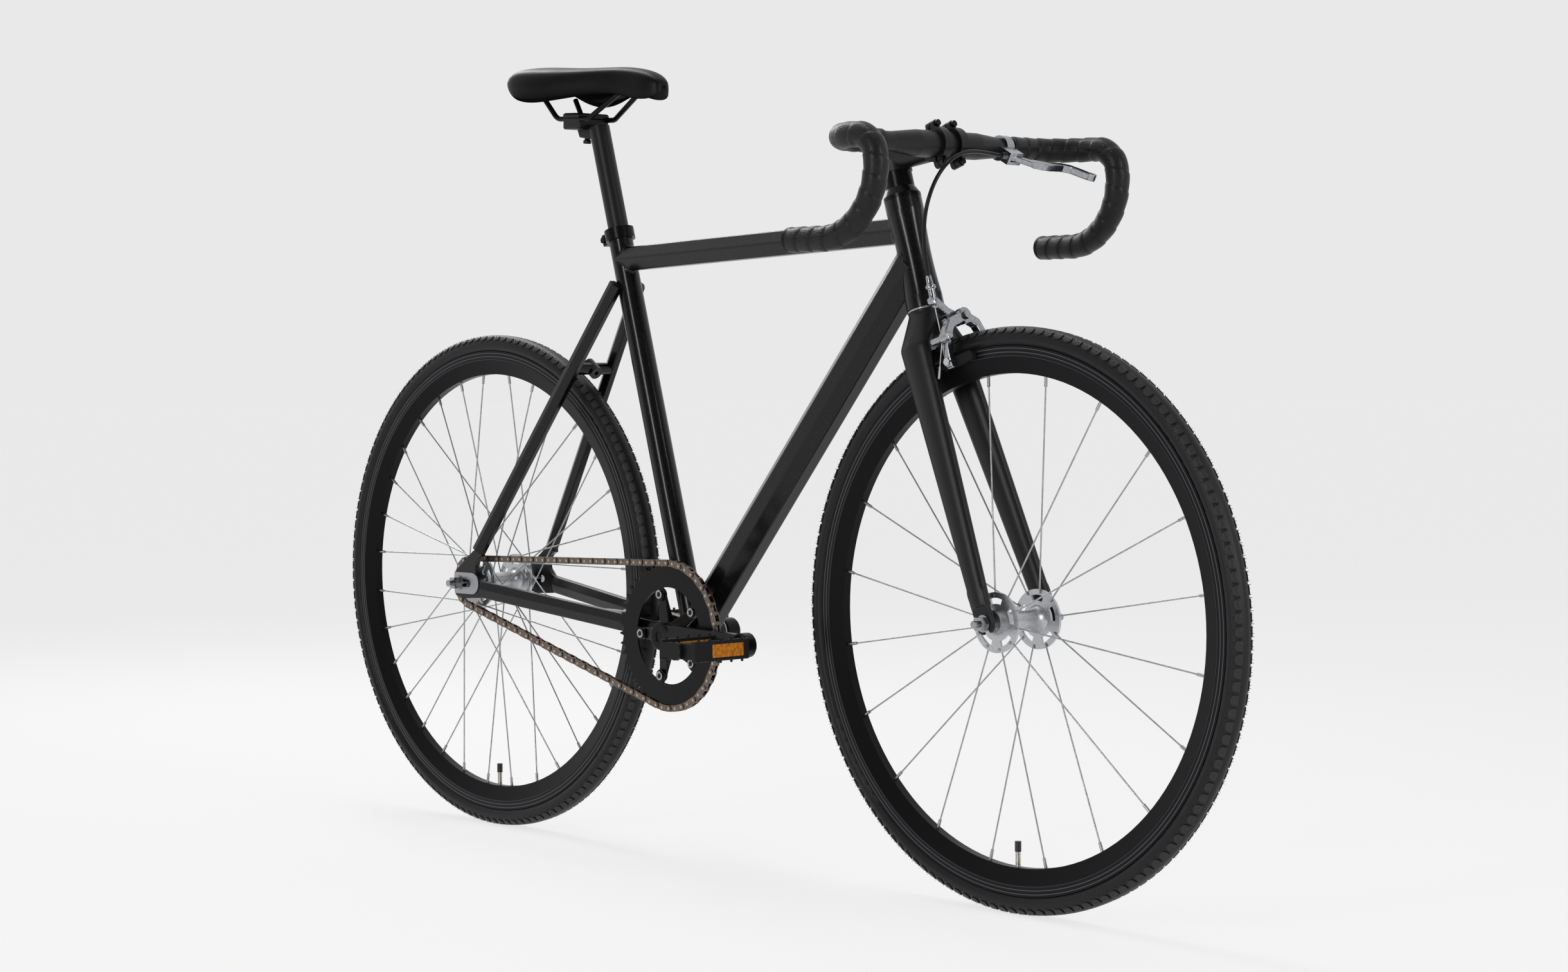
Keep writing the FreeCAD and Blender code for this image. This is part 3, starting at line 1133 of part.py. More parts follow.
crank_plain = crank_arm()
spindle_bore = rod(V(0, -CRANK_FACE_Y + CRANK_BOLT_DEPTH, 0), V(0, 0, 0), SPINDLE_R)
spider_solid = spider().cut(spindle_bore)
local_drills = [shifted(drill, V(0, -CHAIN_LINE, 0)) for drill in bolt_drills]
crank_right = fused([crank_plain, spider_solid]).cut(local_drills)
save("crank_arm_right", shifted(crank_right, bb))
crank_left = mirrored(crank_plain.mirror(V(0, 0, 0), V(1, 0, 0)))
save("crank_arm_left", shifted(crank_left, bb))

# Pedals: axle screwed into the crank, platform body with pins, two reflectors
pedal_near = CRANK_END_OUTER_Y + PEDAL_INSET
pedal_far = pedal_near + PEDAL_LENGTH
axle_end = pedal_far - PEDAL_CAP_T
pedal_axle = fused([rod(V(0, -CRANK_END_INNER_Y, 0), V(0, -axle_end, 0), PEDAL_AXLE_R),
                    rod(V(0, -CRANK_END_OUTER_Y, 0), V(0, -pedal_near + MOVING_GAP, 0), PEDAL_BARREL_R)])
rail_outer_x = PEDAL_WIDTH / 2
rail_inner_x = rail_outer_x - PEDAL_RAIL_T
pedal_half_z = PEDAL_HEIGHT / 2
rail_near = pedal_near + PEDAL_RAIL_T
rail_far = pedal_far - PEDAL_CAP_T
reflector_near = rail_near + REFLECTOR_INSET
reflector_far = reflector_near + REFLECTOR_LENGTH
pedal_pieces = [
    rod(V(0, -pedal_near, 0), V(0, -axle_end, 0), PEDAL_BARREL_R),
    rod(V(0, -axle_end, 0), V(0, -pedal_far, 0), PEDAL_CAP_R)]
for y_low, y_high in ((rail_near, rail_near + PEDAL_RAIL_T), (rail_far - PEDAL_RAIL_T, rail_far)):
    pedal_pieces.append(block(V(-rail_outer_x, -y_high, -PEDAL_BARREL_R),
                              V(rail_outer_x, -y_low, PEDAL_BARREL_R)))
reflectors = []
for side in (-1, 1):
    low_x, high_x = sorted((side * rail_inner_x, side * rail_outer_x))
    rail = block(V(low_x, -rail_far, -pedal_half_z), V(high_x, -rail_near, pedal_half_z))
    rail = rail.makeFillet(PEDAL_PIN_R, [edge for edge in rail.Edges if edge.BoundBox.YLength > OVERRUN])
    window = block(V(low_x - OVERRUN, -reflector_far, -REFLECTOR_HEIGHT / 2),
                   V(high_x + OVERRUN, -reflector_near, REFLECTOR_HEIGHT / 2))
    pedal_pieces.append(rail.cut(window))
    reflectors.append(block(V(low_x, -reflector_far + SEATING_GAP, -REFLECTOR_HEIGHT / 2 + SEATING_GAP),
                            V(high_x, -reflector_near - SEATING_GAP, REFLECTOR_HEIGHT / 2 - SEATING_GAP)))
    for index in range(PEDAL_PINS):
        pin_y = -rail_near - (rail_far - rail_near) * (index + 1 / 2) / PEDAL_PINS
        pin_x = side * (rail_inner_x + rail_outer_x) / 2
        pin_reach = V(0, 0, pedal_half_z + PEDAL_PIN_HEIGHT)
        for up in (-1, 1):
            pin_base = V(pin_x, pin_y, up * (pedal_half_z - PEDAL_PIN_R))
            pedal_pieces.append(rod(pin_base, V(pin_x, pin_y, 0) + pin_reach * up, PEDAL_PIN_R))
pedal_bore = rod(V(0, -pedal_near + OVERRUN, 0), V(0, -axle_end - RUNNING_FIT, 0), PEDAL_AXLE_R + RUNNING_FIT)
pedal_body = fused(pedal_pieces).cut(pedal_bore)
pedal_right_at = bb + V(CRANK_LENGTH, 0, 0)
half_turn_round = FreeCAD.Placement(V(bb.x * 2, 0, 0), FreeCAD.Rotation(V(0, 0, 1), 180))
pedal_axle_right = shifted(pedal_axle, pedal_right_at)
save("pedal_axles", pedal_axle_right, placed(pedal_axle_right, half_turn_round))
body_right = shifted(pedal_body, pedal_right_at)
save("pedal_right", body_right)
save("pedal_left", placed(body_right, half_turn_round))
reflectors_right = [shifted(reflector, pedal_right_at) for reflector in reflectors]
save("pedal_reflectors_right", *reflectors_right)
save("pedal_reflectors_left", *[placed(reflector, half_turn_round) for reflector in reflectors_right])

# Fork: steerer, crown and blades, made about the steering axis with the crown race at the origin
stem_low = HEAD_TUBE_LENGTH + MOVING_GAP + COVER_HEIGHT + SPACERS * SPACER_HEIGHT
stem_high = stem_low + STEM_CLAMP_HEIGHT
crown_sections = [
    Part.Wire(Part.Circle(V(0, 0, -MOVING_GAP), V(0, 0, 1), CROWN_NECK_R).toShape()),
    Part.Wire(Part.Circle(V(0, 0, -CROWN_WAIST_AT), V(0, 0, 1), CROWN_WAIST_R).toShape()),
    ellipse_wire(V(0, 0, -CROWN_SHOULDER_AT), CROWN_HALF_DEPTH, CROWN_SHOULDER_HALF_WIDTH),
    ellipse_wire(V(0, 0, -CROWN_HEIGHT), CROWN_HALF_DEPTH, CROWN_HALF_WIDTH)]
crown = Part.makeLoft([crown_sections[0], crown_sections[1]], True, True)
shoulders = Part.makeLoft(crown_sections[1:], True, True)
leg_sections = []
for drop_share, y_share, depth_share, width_share in LEG_ROOT_SHARES:
    leg_sections.append(ellipse_wire(V(0, BLADE_TOP_Y * y_share, -CROWN_HEIGHT * drop_share),
                                     BLADE_TOP_HALF_DEPTH * depth_share, BLADE_TOP_HALF_T * width_share))
leg_root = Part.makeLoft(leg_sections, True, False)
local_axle = V(FORK_RAKE, 0, -FORK_LENGTH)
arch_half = V(0, CROWN_ARCH_WIDTH / 2, 0)
tyre_space = rod(local_axle - arch_half, local_axle + arch_half, TYRE_R + CROWN_TYRE_CLEARANCE)
crown_bolt_at = V(0, 0, -CALIPER_BOLT_DROP)
crown_reach = V(CROWN_NECK_R + OVERRUN, 0, 0)
crown_bolt_hole = rod(crown_bolt_at - crown_reach, crown_bolt_at + crown_reach, CALIPER_BOLT_R + SEATING_GAP)
crown_solid = fused([crown, shoulders, leg_root, mirrored(leg_root)]).cut(tyre_space).cut(crown_bolt_hole)
save("fork_crown", placed(crown_solid, STEER))
steerer = ring(V(0, 0, -MOVING_GAP), V(0, 0, stem_high), STEERER_R, STEERER_R - STEERER_WALL)
save("fork_steerer", placed(steerer, STEER))
fork_end_y = FRONT_OVER_LOCKNUTS / 2 + FORK_END_T / 2
blade_low = V(0, BLADE_TOP_Y, -CROWN_HEIGHT)
axle_side = local_axle + V(0, fork_end_y, 0)
blade_run = (axle_side - blade_low).normalize()
blade_tip = axle_side - blade_run * BLADE_END_ABOVE_AXLE
blade = Part.makeLoft([
    ellipse_wire(blade_low, BLADE_TOP_HALF_DEPTH, BLADE_TOP_HALF_T),
    ellipse_wire(blade_tip, BLADE_END_HALF_DEPTH, BLADE_END_HALF_T)], True, True)
blade_hollow = Part.makeLoft([
    ellipse_wire(blade_low, BLADE_TOP_HALF_DEPTH - BLADE_WALL, BLADE_TOP_HALF_T - BLADE_WALL),
    ellipse_wire(blade_tip - blade_run * FORK_END_R * 2, BLADE_END_HALF_DEPTH - BLADE_WALL,
                 BLADE_END_HALF_T - BLADE_WALL)], True, True)
end_half = V(0, FORK_END_T / 2, 0)
tongue_half = V(BLADE_END_HALF_DEPTH, 0, 0)
tongue_top = axle_side - blade_run * (BLADE_END_ABOVE_AXLE * 2)
tongue_top.y = axle_side.y
tongue = slab(closed_wire(axle_side - tongue_half - end_half, axle_side + tongue_half - end_half,
                          tongue_top + tongue_half - end_half, tongue_top - tongue_half - end_half),
              end_half * 2)
fork_end = fused([rod(axle_side - end_half, axle_side + end_half, FORK_END_R), tongue])
end_slot_half = FRONT_AXLE_R + SEATING_GAP
end_slot = fused([
    rod(axle_side - arch_half, axle_side + arch_half, end_slot_half),
    block(axle_side - arch_half - V(end_slot_half, 0, FORK_END_SLOT_DEPTH + OVERRUN),
          axle_side + arch_half + V(end_slot_half, 0, 0))])
blade_left = fused([blade.cut(blade_hollow), fork_end]).cut(end_slot)
blade_left = placed(blade_left.cut(tyre_space), STEER)
save("fork_blades", blade_left, mirrored(blade_left))

# Headset cover, spacers and top cap on the steerer
cover_low = HEAD_TUBE_LENGTH + MOVING_GAP
cover_wire = closed_wire(
    V(STEERER_R, 0, cover_low), V(HEAD_END_R, 0, cover_low), V(HEAD_END_R, 0, cover_low + COVER_FLANGE),
    V(SPACER_R, 0, cover_low + COVER_HEIGHT), V(STEERER_R, 0, cover_low + COVER_HEIGHT))
stack = [turned(cover_wire, V(0, 0, 1))]
for index in range(SPACERS):
    low = cover_low + COVER_HEIGHT + index * SPACER_HEIGHT
    stack.append(ring(V(0, 0, low), V(0, 0, low + SPACER_HEIGHT), SPACER_R, STEERER_R))
stack.append(rod(V(0, 0, stem_high), V(0, 0, stem_high + TOP_CAP_T), TOP_CAP_R))
save("headset_spacers", *[placed(piece, STEER) for piece in stack])

# Stem: steerer clamp, tapered extension and the rear half of the bar clamp
stem_middle = V(0, 0, (stem_low + stem_high) / 2)
stem_run = V(math.cos(math.radians(STEM_ANGLE)), 0, math.sin(math.radians(STEM_ANGLE)))
bar_local = stem_middle + stem_run * STEM_LENGTH
bar_centre = STEER.multVec(bar_local)
stem_dir = steer_turn.multVec(stem_run)
STEM = FreeCAD.Placement(bar_centre, FreeCAD.Rotation(V(1, 0, 0), stem_dir))
CLAMP = STEM.multiply(FreeCAD.Placement(V(0, 0, 0), FreeCAD.Rotation(V(0, 1, 0), -STEM_CLAMP_TILT)))
clamp_outer_r = BAR_CLAMP_R + BAR_CLAMP_WALL
clamp_half = V(0, BAR_CLAMP_WIDTH / 2, 0)
rear_side = block(V(-STEM_LENGTH * 2, -BAR_CLAMP_WIDTH, -STEM_LENGTH),
                  V(-CLAMP_SPLIT / 2, BAR_CLAMP_WIDTH, STEM_LENGTH))
front_side = block(V(CLAMP_SPLIT / 2, -BAR_CLAMP_WIDTH, -clamp_outer_r - LUG_RISE),
                   V(clamp_outer_r + LUG_RISE, BAR_CLAMP_WIDTH, clamp_outer_r + LUG_RISE))
lug_mid_z = clamp_outer_r + LUG_RISE / 4
band_spots = [-BAND_SPACING / 2, BAND_SPACING / 2]
lugs = []
for band_y in band_spots:
    for up in (-1, 1):
        lug_centre = V(0, band_y, up * lug_mid_z)
        lug_half = V(LUG_DEPTH, 0, 0)
        lugs.append(rod(lug_centre - lug_half, lug_centre + lug_half, LUG_RISE / 2))
        foot = V(0, 0, up * (lug_mid_z - BAR_CLAMP_R - BAR_CLAMP_WALL / 2))
        low_z, high_z = sorted((lug_centre.z, (lug_centre - foot).z))
        lugs.append(block(V(-LUG_DEPTH, band_y - LUG_RISE / 2, low_z),
                          V(LUG_DEPTH, band_y + LUG_RISE / 2, high_z)))
bar_hole = rod(clamp_half * -2, clamp_half * 2, BAR_CLAMP_R)
extension = Part.makeCone(STEM_ROOT_R, STEM_TIP_R, STEM_LENGTH, V(-STEM_LENGTH, 0, 0), V(1, 0, 0))
rear_clamp = fused([rod(-clamp_half, clamp_half, clamp_outer_r)] + lugs).common(rear_side)
stem_world = fused([
    placed(extension, STEM).common(placed(rear_side, CLAMP)),
    placed(rear_clamp, CLAMP),
    placed(rod(V(0, 0, stem_low), V(0, 0, stem_high), STEM_CLAMP_R), STEER)])
steerer_hole = placed(rod(V(0, 0, stem_low - OVERRUN), V(0, 0, stem_high + OVERRUN), STEERER_R), STEER)
bolt_lines = []
for band_y in band_spots:
    for up in (-1, 1):
        bolt_lines.append((V(-LUG_DEPTH, band_y, up * lug_mid_z), V(LUG_DEPTH, band_y, up * lug_mid_z)))
bolt_holes = [placed(rod(start, end, STEM_BOLT_R), CLAMP) for start, end in bolt_lines]
save("stem", stem_world.cut(placed(bar_hole, CLAMP)).cut(steerer_hole).cut(bolt_holes))
bands = []
for band_y in band_spots:
    band_half = V(0, BAND_WIDTH / 2, 0)
    middle = V(0, band_y, 0)
    band = fused([rod(middle - band_half, middle + band_half, clamp_outer_r)] +
                 [lug for lug in lugs if lug.BoundBox.Center.y * band_y > 0])
    bands.append(placed(band.common(front_side).cut(bar_hole), CLAMP).cut(bolt_holes))
save("stem_faceplate", *bands)
stem_bolts = []
for start, end in bolt_lines:
    head = rod(end, end + V(STEM_BOLT_HEAD_T, 0, 0), STEM_BOLT_HEAD_R)
    stem_bolts.append(placed(fused([rod(start, end, STEM_BOLT_R), head]), CLAMP))
save("stem_bolts", *stem_bolts)

# Handlebar: level top, forward bend, hook and drop, with a thicker middle in the clamp
bar_top = V(0, BAR_HALF_WIDTH, 0)
bar_front = bar_top + V(BAR_REACH, 0, 0)
bar_hook = bar_front + V(0, BAR_FLARE / 3, -BAR_DROP)
bar_end = bar_top + V(-BAR_END_BACK, BAR_FLARE, -BAR_DROP)
bar_radii = [BAR_TOP_BEND_R, BAR_FRONT_BEND_R, BAR_HOOK_R]


def bar_half(start_y, end_point, radius):
    """Round bar along the left half of the handlebar from a place on its top."""
    return bent_rod([V(0, start_y, 0), bar_top, bar_front, bar_hook, end_point], bar_radii, radius)


bulge_wire = closed_wire(
    V(0, -BAR_TAPER_END_Y, 0), V(BAR_R, -BAR_TAPER_END_Y, 0), V(BAR_CLAMP_R, -BAR_BULGE_END_Y, 0),
    V(BAR_CLAMP_R, BAR_BULGE_END_Y, 0), V(BAR_R, BAR_TAPER_END_Y, 0), V(0, BAR_TAPER_END_Y, 0))
bulge = turned(bulge_wire, V(0, 1, 0))
bulge = bulge.cut(rod(V(0, -BAR_TAPER_END_Y, 0), V(0, BAR_TAPER_END_Y, 0), BAR_BORE_R))
tube_left = bar_half(BAR_TAPER_END_Y, bar_end, BAR_R).cut(bar_half(BAR_TAPER_END_Y, bar_end, BAR_BORE_R))
handlebar = fused([bulge, tube_left, mirrored(tube_left)])
save("handlebar", shifted(handlebar, bar_centre))
tape_left = bar_half(TAPE_START_Y, bar_end, TAPE_R).cut(bar_half(TAPE_START_Y, bar_end, BAR_R))
save("bar_tapes", shifted(tape_left, bar_centre), shifted(mirrored(tape_left), bar_centre))
end_run = (bar_end - bar_hook).normalize()
plug_left = fused([rod(bar_end, bar_end + end_run * PLUG_T, TAPE_R),
                   rod(bar_end - end_run * PLUG_DEPTH, bar_end, BAR_BORE_R)])
save("bar_end_plugs", shifted(plug_left, bar_centre), shifted(mirrored(plug_left), bar_centre))

# Brake lever: a bracket clamped round the bar and a curved blade on a pin
slant = math.radians(LEVER_SLANT)
lever_out = V(math.cos(slant), 0, -math.sin(slant))
lever_axis = V(math.sin(slant), 0, math.cos(slant))
LEVER = FreeCAD.Placement(bar_centre, FreeCAD.Rotation(lever_out, V(0, 1, 0), lever_axis, "XYZ"))
pivot = V(LEVER_PIVOT_OUT, LEVER_PIVOT_Y, 0)
band_half = V(0, LEVER_BAND_WIDTH / 2, 0)
band_middle = V(0, LEVER_Y, 0)
body_half_z = LEVER_BODY_HEIGHT / 2
body_low = V(BAR_R, LEVER_PIVOT_Y - LEVER_BODY_LENGTH / 2, -body_half_z)
body_high = V(BAR_R + LEVER_BODY_DEPTH, LEVER_PIVOT_Y + LEVER_BODY_LENGTH / 2, body_half_z)
stop_y = body_low.y - CABLE_STOP_LENGTH
stop_x = LEVER_PIVOT_OUT - LEVER_ROOT_R / 2
bracket = fused([
    rod(band_middle - band_half, band_middle + band_half, LEVER_BAND_R),
    block(body_low, body_high),
    rod(V(stop_x, stop_y, 0), V(stop_x, LEVER_PIVOT_Y, 0), CABLE_STOP_R)])
slot_half_z = LEVER_ROOT_T / 2 + MOVING_GAP
root_space = LEVER_ROOT_R + MOVING_GAP * 2
lever_slot = fused([
    block(V(LEVER_PIVOT_OUT - root_space, LEVER_PIVOT_Y, -slot_half_z),
          V(body_high.x + OVERRUN, body_high.y + OVERRUN, slot_half_z)),
    rod(pivot - V(0, 0, slot_half_z), pivot + V(0, 0, slot_half_z), root_space),
    block(V(LEVER_PIVOT_OUT, LEVER_PIVOT_Y - root_space, -slot_half_z),
          V(body_high.x + OVERRUN, LEVER_PIVOT_Y, slot_half_z))])
bar_space = rod(V(0, BAR_TAPER_END_Y - LEVER_BODY_LENGTH, 0), V(0, LEVER_Y + LEVER_BODY_LENGTH, 0), BAR_R)
bar_cone = bulge.fuse(rod(V(0, -BAR_TAPER_END_Y, 0), V(0, BAR_TAPER_END_Y, 0), BAR_BORE_R))
bracket = bracket.cut([lever_slot, bar_space, bar_cone])
pin = rod(pivot - V(0, 0, body_half_z), pivot + V(0, 0, body_half_z), LEVER_PIN_R)
save("lever_bracket", placed(fused([bracket, pin]), LEVER))
blade_points = []
for out_share, sweep_share in LEVER_BLADE_SHARES:
    blade_points.append(pivot + V(LEVER_SWEEP * sweep_share, LEVER_REACH * out_share, 0))
blade_shapes = [rod(pivot - V(0, 0, LEVER_ROOT_T / 2), pivot + V(0, 0, LEVER_ROOT_T / 2), LEVER_ROOT_R)]
for index, (low, high) in enumerate(zip(blade_points, blade_points[1:])):
    thick = LEVER_ROOT_T if index == 0 else LEVER_BLADE_T
    down = V(0, 0, -thick / 2)
    side = V(0, 0, 1).cross((high - low).normalize()) * LEVER_BLADE_HALF_WIDTH
    outline = closed_wire(low + side + down, high + side + down, high - side + down, low - side + down)
    blade_shapes.append(slab(outline, down * -2))
    blade_shapes.append(rod(high + down, high - down, LEVER_BLADE_HALF_WIDTH))
pin_space = rod(pivot - V(0, 0, body_half_z), pivot + V(0, 0, body_half_z), LEVER_PIN_R + RUNNING_FIT)
save("brake_lever", placed(fused(blade_shapes).cut(pin_space), LEVER))
print("lever pivot", LEVER.multVec(pivot), lever_axis)

# Brake caliper on its centre bolt, with X along the bolt
arm_right_x = CROWN_NECK_R + CALIPER_STANDOFF
arm_left_x = arm_right_x + CALIPER_ARM_T + MOVING_GAP
nut_x = arm_left_x + CALIPER_ARM_T + MOVING_GAP
CALIPER = STEER.multiply(FreeCAD.Placement(crown_bolt_at, FreeCAD.Rotation()))
bolt_tail_x = -CROWN_NECK_R - CALIPER_BOLT_TAIL / 4
centre_bolt = fused([
    rod(V(bolt_tail_x, 0, 0), V(nut_x + CALIPER_NUT_T, 0, 0), CALIPER_BOLT_R),
    rod(V(CROWN_NECK_R, 0, 0), V(arm_right_x - MOVING_GAP, 0, 0), CALIPER_SPACER_R),
    hexagon(V(nut_x, 0, 0), V(1, 0, 0), CALIPER_NUT_R, CALIPER_NUT_T)])
pad_radius_z = CALIPER_BOLT_DROP - FORK_LENGTH + (track_r + rim_edge_r) / 2 - PAD_DROP
pad_face_y = RIM_WIDTH / 2 + PAD_GAP
pad_back_y = pad_face_y + PAD_T
limb_y = pad_back_y + CALIPER_LIMB_R
save("caliper_bolt", placed(centre_bolt.cut(shifted(crown_solid, -crown_bolt_at)), CALIPER))
barrel_foot_z = CALIPER_BOLT_DROP - CALIPER_LIMB_R
limb_foot_z = pad_radius_z - PAD_HEIGHT / 4
arm_bore = rod(V(arm_right_x - OVERRUN, 0, 0), V(nut_x + OVERRUN, 0, 0), CALIPER_BOLT_R + RUNNING_FIT)
wire_x = arm_right_x + CALIPER_ARM_T - WIRE_HOLE_R - WIRE_R
right_points = [V(0, -CABLE_Y, barrel_foot_z), V(0, -CABLE_Y / 2, barrel_foot_z / 3), V(0, 0, 0)]
right_lower = [V(0, 0, 0), V(0, -limb_y * 2 / 3, -CALIPER_BOSS_R), V(0, -limb_y, -CALIPER_BOSS_R * 3),
               V(0, -limb_y, limb_foot_z)]
boss = rod(V(arm_right_x, 0, 0), V(arm_right_x + CALIPER_ARM_T, 0, 0), CALIPER_BOSS_R)
barrel_z = barrel_foot_z + BARREL_LENGTH
cone_z = barrel_z + BARREL_CONE_LENGTH
barrel = fused([
    rod(V(wire_x, -CABLE_Y, barrel_foot_z - CALIPER_LIMB_R), V(wire_x, -CABLE_Y, barrel_z), BARREL_R),
    rod(V(wire_x, -CABLE_Y, barrel_z - BARREL_KNOB_T), V(wire_x, -CABLE_Y, barrel_z), BARREL_KNOB_R),
    Part.makeCone(BARREL_R, BARREL_TIP_R, BARREL_CONE_LENGTH, V(wire_x, -CABLE_Y, barrel_z), V(0, 0, 1))])
wire_hole = rod(V(wire_x, -CABLE_Y, barrel_foot_z - OVERRUN * 3), V(wire_x, -CABLE_Y, cone_z + OVERRUN),
                WIRE_HOLE_R)
pad_bolt_x = (arm_right_x + arm_right_x + CALIPER_ARM_T) / 2
pad_hole = rod(V(pad_bolt_x, 0, pad_radius_z), V(pad_bolt_x, -limb_y * 2, pad_radius_z), PAD_BOLT_R)
arm_right = fused([limb(right_points, CALIPER_LIMB_R, arm_right_x, CALIPER_ARM_T),
                   limb(right_lower, CALIPER_LIMB_R, arm_right_x, CALIPER_ARM_T), boss, barrel])
save("caliper_arm_right", placed(arm_right.cut([arm_bore, wire_hole, pad_hole]), CALIPER))
shift_left = V(CALIPER_ARM_T + MOVING_GAP, 0, 0)
anchor_y = CABLE_Y + ANCHOR_R
anchor_z = -limb_y
left_points = [V(0, -anchor_y, anchor_z), V(0, -anchor_y * 2 / 3, -CALIPER_BOSS_R), V(0, 0, 0),
               V(0, limb_y * 2 / 3, -CALIPER_BOSS_R), V(0, limb_y, -CALIPER_BOSS_R * 3),
               V(0, limb_y, limb_foot_z)]
anchor = fused([
    rod(V(wire_x - ANCHOR_TAIL, -anchor_y, anchor_z), V(nut_x, -anchor_y, anchor_z), ANCHOR_R),
    hexagon(V(nut_x - MOVING_GAP, -anchor_y, anchor_z), V(1, 0, 0), ANCHOR_HEAD_R, ANCHOR_HEAD_T)])
pad_hole_left = shifted(mirrored(pad_hole), shift_left)
wire_start = V(wire_x, -CABLE_Y, barrel_foot_z - CALIPER_LIMB_R / 2)
wire_anchor = V(wire_x, -anchor_y + ANCHOR_R + WIRE_R, anchor_z)
wire_tail = wire_anchor - V(WIRE_TAIL_BACK, 0, WIRE_TAIL)
wire_up = (wire_anchor - wire_tail).normalize()
wire = fused([rod(wire_start, wire_anchor, WIRE_R), Part.makeSphere(WIRE_R, wire_anchor),
              rod(wire_anchor, wire_tail, WIRE_R),
              rod(wire_tail, wire_tail + wire_up * CRIMP_LENGTH, CRIMP_R)])
arm_left = fused([limb(left_points, CALIPER_LIMB_R, arm_left_x, CALIPER_ARM_T), shifted(boss, shift_left),
                  anchor])
save("caliper_arm_left", placed(arm_left.cut([arm_bore, pad_hole_left, wire]), CALIPER))
save("cable_wire", placed(wire, CALIPER))


def brake_pad(bolt_x, side):
    """Pad in its holder on a bolt through the caliper arm."""
    low_y, high_y = sorted((side * pad_face_y, side * pad_back_y))
    pad_middle_x = FORK_RAKE + PAD_FORWARD
    pad = block(V(pad_middle_x - PAD_LENGTH / 2, low_y, pad_radius_z - PAD_HEIGHT / 2),
                V(pad_middle_x + PAD_LENGTH / 2, high_y, pad_radius_z + PAD_HEIGHT / 2))
    pad = pad.makeFillet(PAD_HEIGHT / 3, [edge for edge in pad.Edges if edge.BoundBox.YLength > PAD_T / 2])
    outer_y = side * (limb_y + CALIPER_LIMB_R)
    bolt = rod(V(bolt_x, side * pad_back_y, pad_radius_z), V(bolt_x, outer_y, pad_radius_z), PAD_BOLT_R)
    head = hexagon(V(bolt_x, outer_y, pad_radius_z), V(0, side, 0), PAD_BOLT_HEAD_R, PAD_BOLT_HEAD_T)
    return fused([pad, bolt, head])


save("brake_pad_right", placed(brake_pad(pad_bolt_x, -1), CALIPER))
save("brake_pad_left", placed(brake_pad(pad_bolt_x + shift_left.x, 1), CALIPER))
print("caliper pivot", CALIPER.Base, steer_turn.multVec(V(1, 0, 0)))

# Cable housing from the lever's stop to the barrel adjuster, just clear of the moving barrel
housing_start = LEVER.multVec(V(stop_x, stop_y, 0))
housing_end = CALIPER.multVec(V(wire_x, -CABLE_Y, cone_z + MOVING_GAP))
route = [housing_start]
for share, sway_x, sway_y, sway_z in HOUSING_SWAY:
    route.append(housing_start + (housing_end - housing_start) * share + V(sway_x, sway_y, sway_z))
route.append(housing_end)
housing_radii = largest_radii(route)
housing = bent_rod(route, housing_radii, HOUSING_R)
route_length = route_wire(route, housing_radii).Length
print("housing radii", [round(radius, 1) for radius in housing_radii], "length", round(route_length, 1))
print("housing volume over section times length", housing.Volume / (math.pi * HOUSING_R ** 2 * route_length))
save("cable_housing", housing)

# Seat collar round the seat tube's top, with a bolt through its rear lugs
collar_low = SEAT_TUBE_LENGTH - COLLAR_HEIGHT
lug_back = COLLAR_R + COLLAR_LUG_LENGTH
collar = fused([
    rod(V(0, 0, collar_low), V(0, 0, SEAT_TUBE_LENGTH), COLLAR_R),
    block(V(-lug_back, -COLLAR_LUG_HALF_WIDTH, collar_low), V(0, COLLAR_LUG_HALF_WIDTH, SEAT_TUBE_LENGTH))])
collar = collar.cut([
    rod(V(0, 0, collar_low - OVERRUN), V(0, 0, SEAT_TUBE_LENGTH + OVERRUN), SEAT_TUBE_R),
    block(V(-lug_back - OVERRUN, -COLLAR_SLOT / 2, collar_low - OVERRUN),
          V(0, COLLAR_SLOT / 2, SEAT_TUBE_LENGTH + OVERRUN))])
collar_bolt_at = V(-COLLAR_R - COLLAR_LUG_LENGTH / 2, 0, SEAT_TUBE_LENGTH - COLLAR_HEIGHT / 2)
bolt_reach = V(0, COLLAR_LUG_HALF_WIDTH, 0)
collar_bolt = fused([
    rod(collar_bolt_at - bolt_reach, collar_bolt_at + bolt_reach, COLLAR_BOLT_R),
    rod(collar_bolt_at - bolt_reach - V(0, COLLAR_BOLT_HEAD_T, 0), collar_bolt_at - bolt_reach,
        COLLAR_BOLT_HEAD_R)])
save("seat_clamp", placed(collar.cut(collar_bolt), SEAT), placed(collar_bolt, SEAT))

# Seatpost with a cradle for the rails, top clamp plate and its bolt
post_top = SEAT.multVec(V(0, 0, SEAT_TUBE_LENGTH + POST_EXPOSED))
rail_middle = post_top + V(-RAIL_BEHIND_POST, 0, RAIL_ABOVE_POST)
RAIL = FreeCAD.Placement(rail_middle, FreeCAD.Rotation(V(0, 1, 0), RAIL_TILT))
flat_half = RAIL_FLAT / 2
rail_points = [
    V(flat_half + RAIL_FRONT_RUN, RAIL_NOSE_Y, RAIL_FRONT_RISE), V(flat_half, RAIL_Y, 0),
    V(-flat_half, RAIL_Y, 0), V(-flat_half - RAIL_REAR_RUN, RAIL_TAIL_Y, RAIL_REAR_RISE)]
rail_local = bent_rod(rail_points, [RAIL_BEND_R, RAIL_BEND_R], RAIL_R)
rails_local = [rail_local, mirrored(rail_local)]
rails = [placed(rail, RAIL) for rail in rails_local]
save("saddle_rails", *rails)
cradle_half_x = CRADLE_LENGTH / 2
cradle = block(V(-cradle_half_x, -CRADLE_HALF_WIDTH, -CRADLE_HEIGHT), V(cradle_half_x, CRADLE_HALF_WIDTH, 0))
